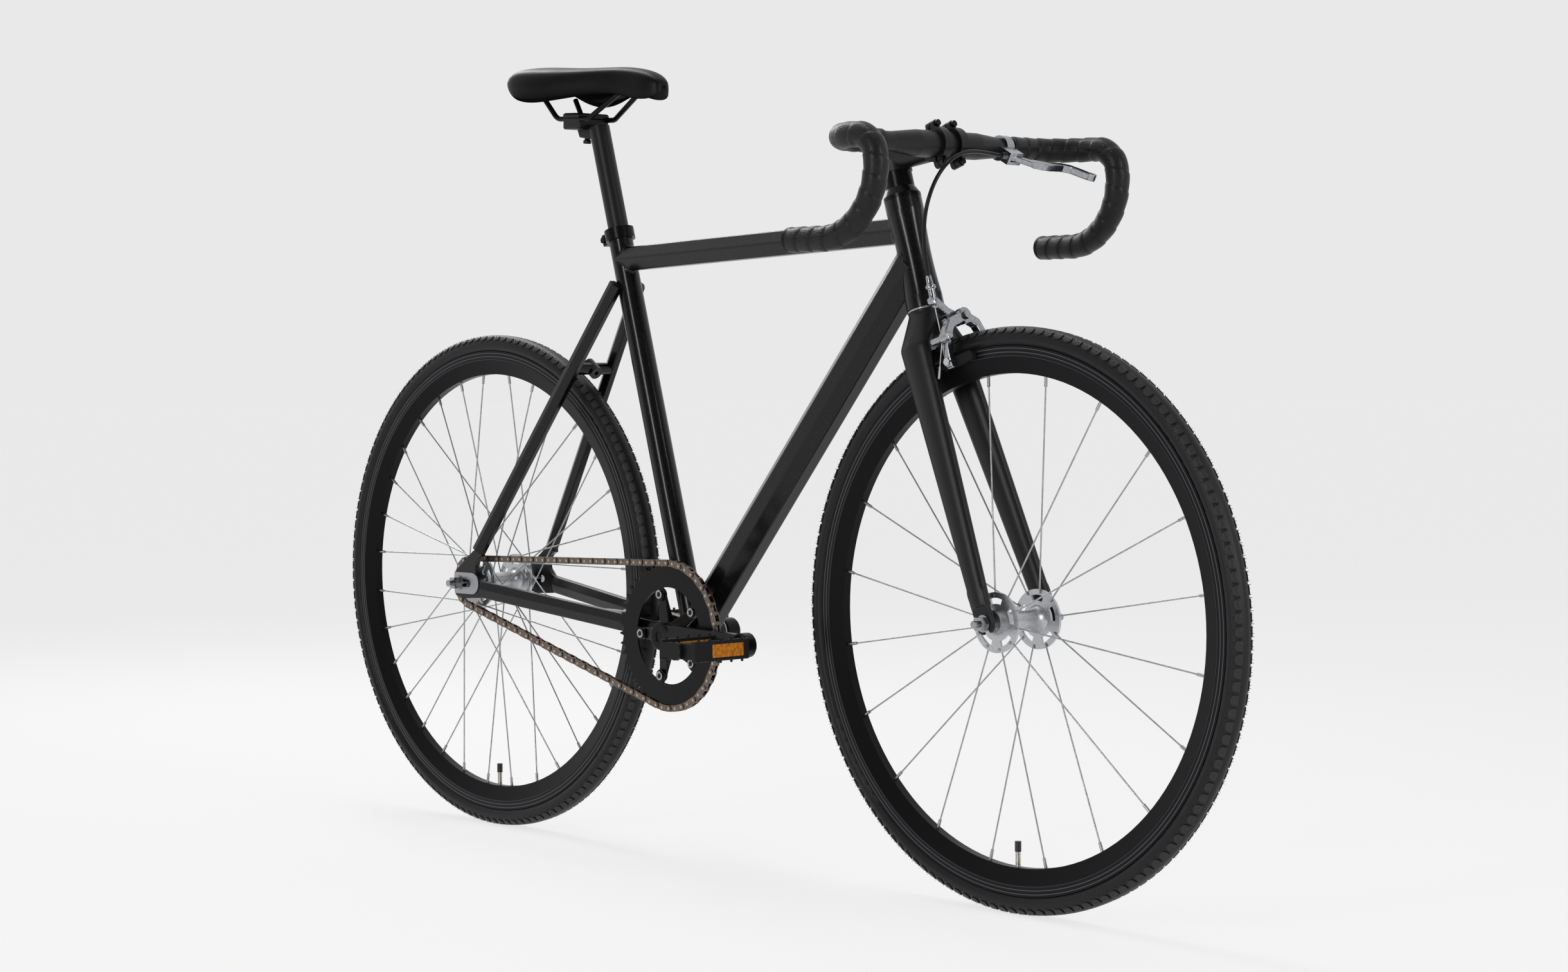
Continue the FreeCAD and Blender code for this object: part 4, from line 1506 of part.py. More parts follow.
low_edges = [edge for edge in cradle.Edges if edge.BoundBox.ZMin < -CRADLE_CORNER_R]
cradle = cradle.makeFillet(CRADLE_CORNER_R, low_edges)
top_plate = block(V(-cradle_half_x, -CRADLE_HALF_WIDTH, CLAMP_SPLIT),
                  V(cradle_half_x, CRADLE_HALF_WIDTH, CRADLE_TOP_T))
high_edges = [edge for edge in top_plate.Edges if edge.BoundBox.ZMin > CLAMP_SPLIT]
top_plate = top_plate.makeFillet(CRADLE_CORNER_R, high_edges)
bolt_x = CLAMP_BOLT_AHEAD
arm_low_z = -CRADLE_HEIGHT - SETBACK_DEPTH
setback_wire = closed_wire(
    V(-cradle_half_x / 2, -SETBACK_HALF_WIDTH, -CRADLE_HEIGHT / 2),
    V(0, -SETBACK_HALF_WIDTH, arm_low_z + SETBACK_DEPTH / 4),
    V(RAIL_BEHIND_POST, -SETBACK_HALF_WIDTH, arm_low_z),
    V(RAIL_BEHIND_POST, -SETBACK_HALF_WIDTH, -CRADLE_HEIGHT / 2))
setback = slab(setback_wire, V(0, 2 * SETBACK_HALF_WIDTH, 0))
clamp_bolt = fused([
    rod(V(bolt_x, 0, arm_low_z), V(bolt_x, 0, CRADLE_TOP_T), CLAMP_BOLT_R),
    rod(V(bolt_x, 0, arm_low_z - CLAMP_BOLT_HEAD_T), V(bolt_x, 0, arm_low_z), CLAMP_BOLT_HEAD_R)])
post_low = SEAT.multVec(V(0, 0, SEAT_TUBE_LENGTH - POST_INSERTION))
post = fused([rod(post_low, post_top, POST_R), placed(cradle, RAIL), placed(setback, RAIL)])
post = post.cut([placed(clamp_bolt, RAIL)] + rails)
post_bore_end = SEAT.multVec(V(0, 0, SEAT_TUBE_LENGTH + POST_EXPOSED - POST_R * 2))
save("seatpost", post.cut(rod(post_low, post_bore_end, POST_R - POST_WALL)))
save("rail_clamp", placed(top_plate.cut([clamp_bolt] + rails_local), RAIL), placed(clamp_bolt, RAIL))

# Saddle: a padded shell with a crown, drawn-in sides and a dipped waist
saddle_base = rail_middle + V(SADDLE_NOSE_AHEAD, 0, SADDLE_SKIRT_ABOVE_RAIL)


def saddle_section(length_share, width_share, crown_share, skirt_share):
    """Outline across the saddle: skirt, bulged side, shoulder and crown."""
    x = saddle_base.x - SADDLE_LENGTH * length_share
    skirt = saddle_base.z + SADDLE_DEPTH * skirt_share
    crown_z = saddle_base.z + SADDLE_DEPTH * crown_share
    half = SADDLE_WIDTH / 2 * width_share
    rise = crown_z - skirt
    tuck = half * SADDLE_TUCK_SHARE
    shoulder = half * SADDLE_SHOULDER_SHARE
    shoulder_z = skirt + rise * SADDLE_SHOULDER_HEIGHT_SHARE
    bulge_z = skirt + rise * SADDLE_BULGE_HEIGHT_SHARE
    return closed_wire(
        V(x, -tuck, skirt), (V(x, -half, bulge_z), V(x, -shoulder, shoulder_z)),
        (V(x, 0, crown_z), V(x, shoulder, shoulder_z)), (V(x, half, bulge_z), V(x, tuck, skirt)))


saddle = Part.makeLoft([saddle_section(*shares) for shares in SADDLE_SHARES], True, False)
save("saddle", saddle.cut(rails))
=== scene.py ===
import math

import bmesh
import bpy
from mathutils import Matrix, Vector


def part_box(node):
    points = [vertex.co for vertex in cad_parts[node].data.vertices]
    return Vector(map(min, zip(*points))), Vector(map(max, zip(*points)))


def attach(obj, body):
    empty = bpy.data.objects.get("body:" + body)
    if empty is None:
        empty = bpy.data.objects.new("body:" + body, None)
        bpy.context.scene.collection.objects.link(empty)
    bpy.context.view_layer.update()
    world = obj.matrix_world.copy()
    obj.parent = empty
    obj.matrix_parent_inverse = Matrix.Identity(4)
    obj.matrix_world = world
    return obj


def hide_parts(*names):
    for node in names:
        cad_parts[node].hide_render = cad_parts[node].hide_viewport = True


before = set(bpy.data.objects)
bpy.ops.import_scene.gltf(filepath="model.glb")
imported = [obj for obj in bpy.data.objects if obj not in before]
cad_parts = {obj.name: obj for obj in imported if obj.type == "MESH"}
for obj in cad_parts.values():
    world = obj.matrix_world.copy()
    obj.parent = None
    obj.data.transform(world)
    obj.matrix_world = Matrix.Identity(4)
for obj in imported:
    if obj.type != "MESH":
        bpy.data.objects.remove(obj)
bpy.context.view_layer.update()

# Frame: black bicycle frame of shaped alloy tubes, welded, sanded smooth at the joints and sprayed.
# The paint is a gloss black enamel with a fine metal flake under clear lacquer, so the tubes look
# near black with bright soft reflections along every facet.


def linear(hex_colour):
    """Linear colour of an sRGB hex value."""
    channels = [int(hex_colour[i:i + 2], 16) / 255 for i in (1, 3, 5)]
    return tuple(c / 12.92 if c <= 0.04045 else ((c + 0.055) / 1.055) ** 2.4 for c in channels) + (1.0,)


def add(tree, kind, inputs=None, **settings):
    """One node with its settings, its values and its links."""
    made = tree.nodes.new(kind)
    for key, value in settings.items():
        setattr(made, key, value)
    for key, value in (inputs or {}).items():
        if isinstance(value, bpy.types.NodeSocket):
            tree.links.new(value, made.inputs[key])
        else:
            made.inputs[key].default_value = value
    return made


def start_material(name, metallic, roughness, shine=0.5):
    """Empty procedural material: its node tree, its shader and its Object coordinates."""
    material = bpy.data.materials.new(name)
    material.use_nodes = True
    tree = material.node_tree
    shader = tree.nodes["Principled BSDF"]
    shader.inputs["Metallic"].default_value = metallic
    shader.inputs["Roughness"].default_value = roughness
    shader.inputs["Specular IOR Level"].default_value = shine
    place = add(tree, "ShaderNodeTexCoord").outputs["Object"]
    return material, tree, shader, place


def dress(material, *names):
    """Give carried-over nodes a finished material."""
    for name in names:
        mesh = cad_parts[name].data
        mesh.materials.clear()
        mesh.materials.append(material)


# Sprayed enamel: dark body colour, flake about 0.5 mm drawn at 1.2 mm so that it shows, lacquer on top
FLAKE_SIZE = 0.0012
PEEL_SIZE = 0.009
frame_enamel, tree, shader, place = start_material("flake_enamel", metallic=0.0, roughness=0.3, shine=0.14)
flake = add(tree, "ShaderNodeTexVoronoi", {"Vector": place, "Scale": 1 / FLAKE_SIZE})
spark = add(tree, "ShaderNodeMapRange", {"Value": flake.outputs["Color"], "From Min": 0.72})
paint = add(tree, "ShaderNodeMix", {"Factor": spark.outputs["Result"], "A": linear("#050506"),
                                    "B": linear("#222327")}, data_type="RGBA")
tree.links.new(paint.outputs["Result"], shader.inputs["Base Color"])
peel = add(tree, "ShaderNodeTexNoise", {"Vector": place, "Scale": 1 / PEEL_SIZE, "Detail": 1.0})
skin = add(tree, "ShaderNodeBump", {"Height": peel.outputs["Fac"], "Strength": 0.05, "Distance": 0.0006})
tree.links.new(skin.outputs["Normal"], shader.inputs["Coat Normal"])
shader.inputs["Coat Weight"].default_value = 0.36
shader.inputs["Coat Roughness"].default_value = 0.15
dress(frame_enamel, "head_tube", "top_tube", "down_tube", "seat_tube", "bottom_bracket_shell", "chainstays",
      "seatstays", "brake_bridge", "rear_dropouts")

# Smoothed welds: filler-like fillets of the same metal where a tube meets another, painted with the
# frame. Each one follows the line where the tube's section runs into the round tube it is welded to.
BB = Vector((-0.074295, 0, 0.290))
SEAT_LINE = Vector((-0.275637, 0, 0.961262))
HEAD_LOW = Vector((0.345209, 0, 0.700178))
STEER_LINE = Vector((-0.28066671, 0, 0.95980529))
TOP_ON_SEAT = 0.5035
TOP_ON_HEAD = 0.0975
DOWN_ON_HEAD = 0.059
SEAT_TUBE_MIDDLE = 0.3
HEAD_R_AT_TOP = 0.0207
HEAD_R_AT_DOWN = 0.0202
SEAT_TUBE_R = 0.0159
SHELL_R = 0.0205
TOP_OUTLINE = ((-0.0088, 0.0155), (-0.017, 0), (-0.0078, -0.0155),
               (0.0078, -0.0155), (0.017, 0), (0.0088, 0.0155))
DOWN_OUTLINE = ((-0.0097, 0.023), (-0.0215, 0.0097), (-0.0215, -0.0097), (-0.009, -0.023),
                (0.009, -0.023), (0.0215, -0.0097), (0.0215, 0.0097), (0.0097, 0.023))
ROUND_SIDES = 24
SEAT_TURNS = [2 * math.pi * side / ROUND_SIDES for side in range(ROUND_SIDES)]
SEAT_OUTLINE = tuple((-SEAT_TUBE_R * math.sin(turn), SEAT_TUBE_R * math.cos(turn)) for turn in SEAT_TURNS)
CORNER_CUT = 0.18
WELD_SIZE = 0.0052
WELD_ROOT = 0.0012
WELD_STEPS = 6


def piece(name, mesh, material, body):
    """Place a new piece in the scene on its body."""
    obj = bpy.data.objects.new(name, mesh)
    bpy.context.scene.collection.objects.link(obj)
    mesh.materials.clear()
    mesh.materials.append(material)
    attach(obj, body)
    return obj


def eased(outline):
    """Outline with its corners cut twice, as the tube's rounded edges are."""
    kept = 1 - CORNER_CUT
    for cut in range(2):
        finer = []
        for (ax, ay), (bx, by) in zip(outline, outline[1:] + outline[:1]):
            finer.append((ax * kept + bx * CORNER_CUT, ay * kept + by * CORNER_CUT))
            finer.append((ax * CORNER_CUT + bx * kept, ay * CORNER_CUT + by * kept))
        outline = tuple(finer)
    return outline


def weld(bm, far, near, outline, axis_point, axis, radius):
    """Fillet round the end of a tube that comes from far and meets a round tube at near."""
    along = (near - far).normalized()
    side = Vector((0, 0, 1)).cross(along).normalized()
    up = along.cross(side)
    rings = []
    for index, (across, rise) in enumerate(outline):
        ahead = outline[(index + 1) % len(outline)]
        behind = outline[index - 1]
        tangent = side * (ahead[0] - behind[0]) + up * (ahead[1] - behind[1])
        outward = tangent.cross(along).normalized()
        if outward.dot(side * across + up * rise) < 0:
            outward = -outward
        start = far + side * across + up * rise - axis_point
        flat_start = start - axis * start.dot(axis)
        flat_along = along - axis * along.dot(axis)
        a = flat_along.length_squared
        b = flat_start.dot(flat_along)
        c = flat_start.length_squared - radius ** 2
        crease = start + along * ((-b - math.sqrt(max(0.0, b * b - a * c))) / a)
        on_tube = crease - along * WELD_SIZE
        spread = crease + outward * WELD_SIZE
        level = axis * spread.dot(axis)
        on_round = level + (spread - level).normalized() * radius
        inward = (crease - axis * crease.dot(axis)).normalized()
        ring = []
        for step in range(WELD_STEPS + 1):
            t = step / WELD_STEPS
            ring.append(on_tube * (1 - t) ** 2 + crease * (2 * t * (1 - t)) + on_round * t ** 2)
        ring.append(crease - inward * WELD_ROOT - outward * WELD_ROOT)
        rings.append([bm.verts.new(point + axis_point) for point in ring])
    for first, second in zip(rings, rings[1:] + rings[:1]):
        for k in range(len(first)):
            after = (k + 1) % len(first)
            bm.faces.new((first[k], first[after], second[after], second[k])).smooth = True


top_rear = BB + SEAT_LINE * TOP_ON_SEAT
top_front = HEAD_LOW + STEER_LINE * TOP_ON_HEAD
down_front = HEAD_LOW + STEER_LINE * DOWN_ON_HEAD
bm = bmesh.new()
weld(bm, top_rear, top_front, eased(TOP_OUTLINE), HEAD_LOW, STEER_LINE, HEAD_R_AT_TOP)
weld(bm, top_front, top_rear, eased(TOP_OUTLINE), BB, SEAT_LINE, SEAT_TUBE_R)
weld(bm, BB, down_front, eased(DOWN_OUTLINE), HEAD_LOW, STEER_LINE, HEAD_R_AT_DOWN)
weld(bm, BB + SEAT_LINE * SEAT_TUBE_MIDDLE, BB, SEAT_OUTLINE, BB, Vector((0, 1, 0)), SHELL_R)
bmesh.ops.recalc_face_normals(bm, faces=bm.faces)
mesh = bpy.data.meshes.new("frame_welds")
bm.to_mesh(mesh)
piece("frame_welds", mesh, frame_enamel, "frame")

# Dropout wear plates, cups, pedal axles, steerer and cog: stainless or plain steel, pressed or turned.
# Brushed along their length, so the highlight is drawn out in fine lines.
BRUSH_RUN = 0.03
BRUSH_WIDTH = 0.0012
brushed_steel, tree, shader, place = start_material("brushed_stainless", metallic=1.0, roughness=0.3)
shader.inputs["Base Color"].default_value = linear("#a3a5a8")
stretch = add(tree, "ShaderNodeMapping", {"Vector": place,
                                          "Scale": (1 / BRUSH_RUN, 1 / BRUSH_WIDTH, 1 / BRUSH_WIDTH)})
lines = add(tree, "ShaderNodeTexNoise", {"Vector": stretch.outputs["Vector"], "Scale": 1.0, "Detail": 3.0})
gloss = add(tree, "ShaderNodeMapRange", {"Value": lines.outputs["Fac"], "To Min": 0.2, "To Max": 0.42})
tree.links.new(gloss.outputs["Result"], shader.inputs["Roughness"])
lay = add(tree, "ShaderNodeBump", {"Height": lines.outputs["Fac"], "Strength": 0.12, "Distance": 0.0004})
tree.links.new(lay.outputs["Normal"], shader.inputs["Normal"])
dress(brushed_steel, "dropout_plates", "bottom_bracket_cups", "pedal_axles", "fork_steerer", "cog")

# Axles, nuts and small bolts: turned steel with bright zinc or nickel plating.
# Plating is smooth and clear, with faint grey handling marks.


def mottled(tree, place, grain_size, detail, dark, pale):
    """Cloudy blend of two tones in grains of one size: its pattern and its colour."""
    cloud = add(tree, "ShaderNodeTexNoise", {"Vector": place, "Scale": 1 / grain_size, "Detail": detail})
    tone = add(tree, "ShaderNodeMix", {"Factor": cloud.outputs["Fac"], "A": linear(dark), "B": linear(pale)},
               data_type="RGBA")
    return cloud.outputs["Fac"], tone.outputs["Result"]


bright_plate, tree, shader, place = start_material("bright_nickel_plate", metallic=1.0, roughness=0.16)
marks, plate_tone = mottled(tree, place, grain_size=0.004, detail=4.0, dark="#85878a", pale="#b9babc")
tree.links.new(plate_tone, shader.inputs["Base Color"])
dull = add(tree, "ShaderNodeMapRange", {"Value": marks, "To Min": 0.1, "To Max": 0.28})
tree.links.new(dull.outputs["Result"], shader.inputs["Roughness"])
dress(bright_plate, "rear_axle", "front_axle", "headset_bearings", "chainring_bolts", "caliper_bolt")

# Rims: deep extruded aluminium, black anodised to a satin sheen, with a machined brake track.
# The track's turning marks are about 0.4 mm apart and are drawn 4.6 mm apart so that they show.
AXLES = {"front": Vector((0.4925, 0, 0.339)), "rear": Vector((-0.4925, 0, 0.339))}
TRACK_LOW = 0.3045
TRACK_FULL = 0.3052
TURNING_PITCH = 0.0046


def radius_from(tree, place, axle):
    """Distance of a point from a wheel's axle line."""
    from_axle = add(tree, "ShaderNodeMapping", {"Vector": place, "Location": -axle})
    flat = add(tree, "ShaderNodeVectorMath", {0: from_axle.outputs["Vector"], 1: (1, 0, 1)},
               operation="MULTIPLY")
    return add(tree, "ShaderNodeVectorMath", {0: flat.outputs["Vector"]}, operation="LENGTH").outputs["Value"]


def ripple(tree, distance, pitch):
    """Sine wave with one crest for every pitch of a distance."""
    phase = add(tree, "ShaderNodeMath", {0: distance, 1: 2 * math.pi / pitch}, operation="MULTIPLY")
    return add(tree, "ShaderNodeMath", {0: phase.outputs["Value"]}, operation="SINE").outputs["Value"]


for end, axle in AXLES.items():
    rim_anodised, tree, shader, place = start_material("anodised_rim_" + end, metallic=0.5, roughness=0.34,
                                                       shine=0.12)
    radius = radius_from(tree, place, axle)
    _, tone = mottled(tree, place, grain_size=0.0016, detail=2.0, dark="#101011", pale="#19191b")
    wave = ripple(tree, radius, TURNING_PITCH)
    track = add(tree, "ShaderNodeMapRange", {"Value": radius, "From Min": TRACK_LOW, "From Max": TRACK_FULL})
    worn = add(tree, "ShaderNodeMix", {"Factor": track.outputs["Result"], "A": tone, "B": linear("#1f1f21")},
               data_type="RGBA")
    ridge = add(tree, "ShaderNodeMapRange", {"Value": wave, "From Min": 0.72, "From Max": 0.95})
    bright = add(tree, "ShaderNodeMath", {0: ridge.outputs["Result"], 1: track.outputs["Result"]},
                 operation="MULTIPLY")
    lined = add(tree, "ShaderNodeMix", {"Factor": bright.outputs["Value"], "A": worn.outputs["Result"],
                                        "B": linear("#5c5d60")}, data_type="RGBA")
    groove = add(tree, "ShaderNodeMath", {0: wave, 1: track.outputs["Result"]}, operation="MULTIPLY")
    cut = add(tree, "ShaderNodeBump", {"Height": groove.outputs["Value"], "Strength": 0.35,
                                       "Distance": 0.0004})
    tree.links.new(cut.outputs["Normal"], shader.inputs["Normal"])
    tree.links.new(lined.outputs["Result"], shader.inputs["Base Color"])
    dress(rim_anodised, end + "_rim")

# Tyres: black road tyres of moulded rubber with a matte skin and faint mould lines round the sidewall.
# The sidewall is a touch darker than the tread, and the tops of the edge blocks are painted a touch paler as
# a painted highlight where they stand out.
SECTION_R = 0.3245
TYRE_HALF = 0.0145
TREAD_START = 0.3285
TREAD_FULL = 0.3325
RIB_PITCH = 0.0024
for end, axle in AXLES.items():
    tyre_rubber, tree, shader, place = start_material("tyre_rubber_" + end, metallic=0.0, roughness=0.46,
                                                      shine=0.28)
    radius = radius_from(tree, place, axle)
    dust, side_tone = mottled(tree, place, grain_size=0.012, detail=6.0, dark="#0b0b0c", pale="#131315")
    tread_zone = add(tree, "ShaderNodeMapRange", {"Value": radius, "From Min": TREAD_START,
                                                  "From Max": TREAD_FULL})
    tread_tone = add(tree, "ShaderNodeMix", {"Factor": dust, "A": linear("#0e0e0f"), "B": linear("#19191b")},
                     data_type="RGBA")
    rubber_tone = add(tree, "ShaderNodeMix", {"Factor": tread_zone.outputs["Result"], "A": side_tone,
                                              "B": tread_tone.outputs["Result"]}, data_type="RGBA")
    across = add(tree, "ShaderNodeSeparateXYZ", {"Vector": place})
    inward = add(tree, "ShaderNodeMath", {0: radius, 1: SECTION_R}, operation="SUBTRACT")
    section = add(tree, "ShaderNodeCombineXYZ", {"X": inward.outputs["Value"], "Y": across.outputs["Y"]})
    reach = add(tree, "ShaderNodeVectorMath", {0: section.outputs["Vector"]}, operation="LENGTH")
    # Painted highlight: the raised tops of the edge blocks and hairs get a paler rubber colour
    block_top_highlight = add(tree, "ShaderNodeMapRange", {"Value": reach.outputs["Value"],
                                                 "From Min": TYRE_HALF + 0.0005,
                                                 "From Max": TYRE_HALF + 0.0009})
    rubber_and_painted_top_highlight = add(tree, "ShaderNodeMix", {"Factor": block_top_highlight.outputs["Result"],
                                             "A": rubber_tone.outputs["Result"], "B": linear("#2a2a2c")},
                     data_type="RGBA")
    tree.links.new(rubber_and_painted_top_highlight.outputs["Result"], shader.inputs["Base Color"])
    ribs = ripple(tree, radius, RIB_PITCH)
    skin_grit = add(tree, "ShaderNodeTexNoise", {"Vector": place, "Scale": 1 / 0.0018, "Detail": 2.0})
    moulded = add(tree, "ShaderNodeMath", {0: ribs, 1: 0.25, 2: skin_grit.outputs["Fac"]},
                  operation="MULTIPLY_ADD")
    relief = add(tree, "ShaderNodeBump", {"Height": moulded.outputs["Value"], "Strength": 0.25,
                                          "Distance": 0.0005})
    tree.links.new(relief.outputs["Normal"], shader.inputs["Normal"])
    dress(tyre_rubber, end + "_tyre")

# Tread edge and mould hairs: small raised rubber blocks with rounded ends along both shoulders of each
# tyre, and the thin hairs that the mould's vents leave on a new tyre.
TREAD_BLOCKS = 142
TREAD_RISE = 0.0011
BLOCK_ROWS = ((30, 0.0165), (42, 0.0175), (52, 0.0165), (58, 0.0125), (62, 0.006))
BLOCK_SHARES = (-1, -0.5, 0, 0.5, 1)
BLOCK_TAPER = 0.09
HAIR_GROUPS = 150
HAIR_ROOT_R = 0.0005
HAIR_TIP_R = 0.0002
HAIR_ROOT_DEPTH = 0.0004
HAIRS = ((-1, 0.0, 41, 0.0030), (1, 0.006, 40, 0.0026), (-1, 0.011, 36, 0.0022), (1, 0.017, 44, 0.0031),
         (-1, 0.023, 45, 0.0027), (1, 0.029, 37, 0.0021), (-1, 0.034, 72, 0.0024))
ROUND_AXLE = bpy.data.node_groups.new("round_the_axle", "GeometryNodeTree")
ROUND_AXLE.interface.new_socket("Geometry", in_out="INPUT", socket_type="NodeSocketGeometry")
count_socket = ROUND_AXLE.interface.new_socket("Count", in_out="INPUT", socket_type="NodeSocketInt")
axle_socket = ROUND_AXLE.interface.new_socket("Axle", in_out="INPUT", socket_type="NodeSocketVector")
finish_socket = ROUND_AXLE.interface.new_socket("Finish", in_out="INPUT", socket_type="NodeSocketMaterial")
ROUND_AXLE.interface.new_socket("Geometry", in_out="OUTPUT", socket_type="NodeSocketGeometry")
given = add(ROUND_AXLE, "NodeGroupInput").outputs
spots = add(ROUND_AXLE, "GeometryNodeMeshLine", {"Count": given["Count"], "Offset": (0, 0, 0)})
turn_step = add(ROUND_AXLE, "ShaderNodeMath", {0: 2 * math.pi, 1: given["Count"]}, operation="DIVIDE")
spot_index = add(ROUND_AXLE, "GeometryNodeInputIndex")
spot_turn = add(ROUND_AXLE, "ShaderNodeMath", {0: spot_index.outputs["Index"], 1: turn_step.outputs["Value"]},
                operation="MULTIPLY")
spot_spin = add(ROUND_AXLE, "ShaderNodeCombineXYZ", {"Y": spot_turn.outputs["Value"]})
copies = add(ROUND_AXLE, "GeometryNodeInstanceOnPoints", {"Points": spots.outputs["Mesh"],
                                                          "Instance": given["Geometry"],
                                                          "Rotation": spot_spin.outputs["Vector"]})
real = add(ROUND_AXLE, "GeometryNodeRealizeInstances", {"Geometry": copies.outputs["Instances"]})
moved = add(ROUND_AXLE, "GeometryNodeTransform", {"Geometry": real.outputs["Geometry"],
                                                  "Translation": given["Axle"]})
coated = add(ROUND_AXLE, "GeometryNodeSetMaterial", {"Geometry": moved.outputs["Geometry"],
                                                     "Material": given["Finish"]})
add(ROUND_AXLE, "NodeGroupOutput", {"Geometry": coated.outputs["Geometry"]})


def evaluated(obj):
    """Plain mesh of an object with its modifiers applied."""
    bpy.context.view_layer.update()
    return bpy.data.meshes.new_from_object(obj.evaluated_get(bpy.context.evaluated_depsgraph_get()))


def round_axle(name, bm, count, axle, material, body):
    """One shape repeated round an axle as a finished piece."""
    seed_mesh = bpy.data.meshes.new(name + "_one")
    bm.to_mesh(seed_mesh)
    seed = bpy.data.objects.new(name + "_one", seed_mesh)
    bpy.context.scene.collection.objects.link(seed)
    maker = seed.modifiers.new("round", "NODES")
    maker.node_group = ROUND_AXLE
    maker[count_socket.identifier] = count
    maker[axle_socket.identifier] = axle
    maker[finish_socket.identifier] = material
    mesh = evaluated(seed)
    bpy.data.objects.remove(seed)
    return piece(name, mesh, material, body)


def on_tyre(turn, lean, rise):
    """Point on the tyre's skin: turn round the axle, lean from the crown, height above the skin."""
    reach = TYRE_HALF + rise
    r = SECTION_R + reach * math.cos(lean)
    return Vector((r * math.sin(turn), reach * math.sin(lean), r * math.cos(turn)))


for end, axle in AXLES.items():
    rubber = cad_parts[end + "_tyre"].data.materials[0]
    bm = bmesh.new()
    for side in (-1, 1):
        rows = []
        for lean, half in BLOCK_ROWS:
            row = []
            for share in BLOCK_SHARES:
                row.append(bm.verts.new(on_tyre(half * share, side * math.radians(lean), TREAD_RISE)))
            rows.append(row)
        for low, high in zip(rows, rows[1:]):
            for k in range(len(low) - 1):
                bm.faces.new((low[k], low[k + 1], high[k + 1], high[k]))
        right_edge = [row[-1] for row in rows[1:]]
        left_edge = [row[0] for row in rows[-2:0:-1]]
        outline = rows[0] + right_edge + rows[-1][-2::-1] + left_edge
        skirt = []
        for vert in outline:
            skirt.append(bm.verts.new(vert.co + (Vector((0, 0, SECTION_R)) - vert.co) * BLOCK_TAPER))
        for k in range(len(outline)):
            after = (k + 1) % len(outline)
            bm.faces.new((outline[k], outline[after], skirt[after], skirt[k]))
        bm.faces.new(skirt)
    bmesh.ops.recalc_face_normals(bm, faces=bm.faces)
    round_axle(end + "_tread_edge", bm, TREAD_BLOCKS, axle, rubber, end + "_wheel")
    bm = bmesh.new()
    for side, turn, lean, height in HAIRS:
        root = on_tyre(turn, side * math.radians(lean), -HAIR_ROOT_DEPTH)
        outside = on_tyre(turn, side * math.radians(lean * 0.6), 0.02)
        away = (outside - on_tyre(turn, 0, -TYRE_HALF)).normalized()
        tilt = away.to_track_quat("Z", "Y").to_matrix().to_4x4()
        bmesh.ops.create_cone(bm, segments=4, radius1=HAIR_ROOT_R, radius2=HAIR_TIP_R,
                              depth=height + 2 * HAIR_ROOT_DEPTH, cap_ends=True,
                              matrix=Matrix.Translation(root + away * (height / 2)) @ tilt)
    round_axle(end + "_mould_hairs", bm, HAIR_GROUPS, axle, rubber, end + "_wheel")

# Inner tubes: only their valves show, a plated brass stem through the rim with a black plastic cap.
# The rubber ring itself stays hidden inside the tyre.
CAP_END_R = 0.2672
THREAD_PITCH = 0.001
for end, axle in AXLES.items():
    valve_parts, tree, shader, place = start_material("valve_and_cap_" + end, metallic=1.0, roughness=0.3)
    radius = radius_from(tree, place, axle)
    stem_zone = add(tree, "ShaderNodeMath", {0: radius, 1: CAP_END_R}, operation="GREATER_THAN")
    valve_tone = add(tree, "ShaderNodeMix", {"Factor": stem_zone.outputs["Value"], "A": linear("#18181a"),
                                             "B": linear("#b9b4a8")}, data_type="RGBA")
    tree.links.new(valve_tone.outputs["Result"], shader.inputs["Base Color"])
    tree.links.new(stem_zone.outputs["Value"], shader.inputs["Metallic"])
    thread_cut = add(tree, "ShaderNodeBump", {"Height": ripple(tree, radius, THREAD_PITCH), "Strength": 0.4,
                                              "Distance": 0.0003})
    tree.links.new(thread_cut.outputs["Normal"], shader.inputs["Normal"])
    dress(valve_parts, end + "_inner_tube")

# Spokes, nipples and brake wire: drawn stainless wire.
# Drawing leaves a bright, slightly drawn-out shine with faint changes of tone.
wire_steel, tree, shader, place = start_material("drawn_stainless_wire", metallic=1.0, roughness=0.34)
_, wire_tone = mottled(tree, place, grain_size=0.006, detail=3.0, dark="#85868a", pale="#c4c5c7")
tree.links.new(wire_tone, shader.inputs["Base Color"])
dress(wire_steel, "front_spokes", "rear_spokes", "cable_wire")

# Hubs: high-flange shells turned from aluminium.
# They are left satin from the lathe, brighter and softer than the polished brake.
hub_alloy, tree, shader, place = start_material("satin_turned_aluminium", metallic=1.0, roughness=0.36)
turning, hub_tone = mottled(tree, place, grain_size=0.003, detail=4.0, dark="#a3a5a9", pale="#d9dadc")
hub_gloss = add(tree, "ShaderNodeMapRange", {"Value": turning, "To Min": 0.3, "To Max": 0.44})
tree.links.new(hub_tone, shader.inputs["Base Color"])
tree.links.new(hub_gloss.outputs["Result"], shader.inputs["Roughness"])
dress(hub_alloy, "front_hub", "rear_hub")

# Brake lever, its bracket and the brake arms: forged aluminium with rounded edges.
# Polished to a soft mirror, with faint buffing marks.
polished_alloy, tree, shader, place = start_material("polished_aluminium", metallic=1.0, roughness=0.24)
buffing, alloy_tone = mottled(tree, place, grain_size=0.0035, detail=5.0, dark="#7f8185", pale="#bbbdc0")
alloy_gloss = add(tree, "ShaderNodeMapRange", {"Value": buffing, "To Min": 0.11, "To Max": 0.22})
alloy_marks = add(tree, "ShaderNodeBump", {"Height": buffing, "Strength": 0.06, "Distance": 0.0004})
tree.links.new(alloy_tone, shader.inputs["Base Color"])
tree.links.new(alloy_gloss.outputs["Result"], shader.inputs["Roughness"])
tree.links.new(alloy_marks.outputs["Normal"], shader.inputs["Normal"])
dress(polished_alloy, "lever_bracket")


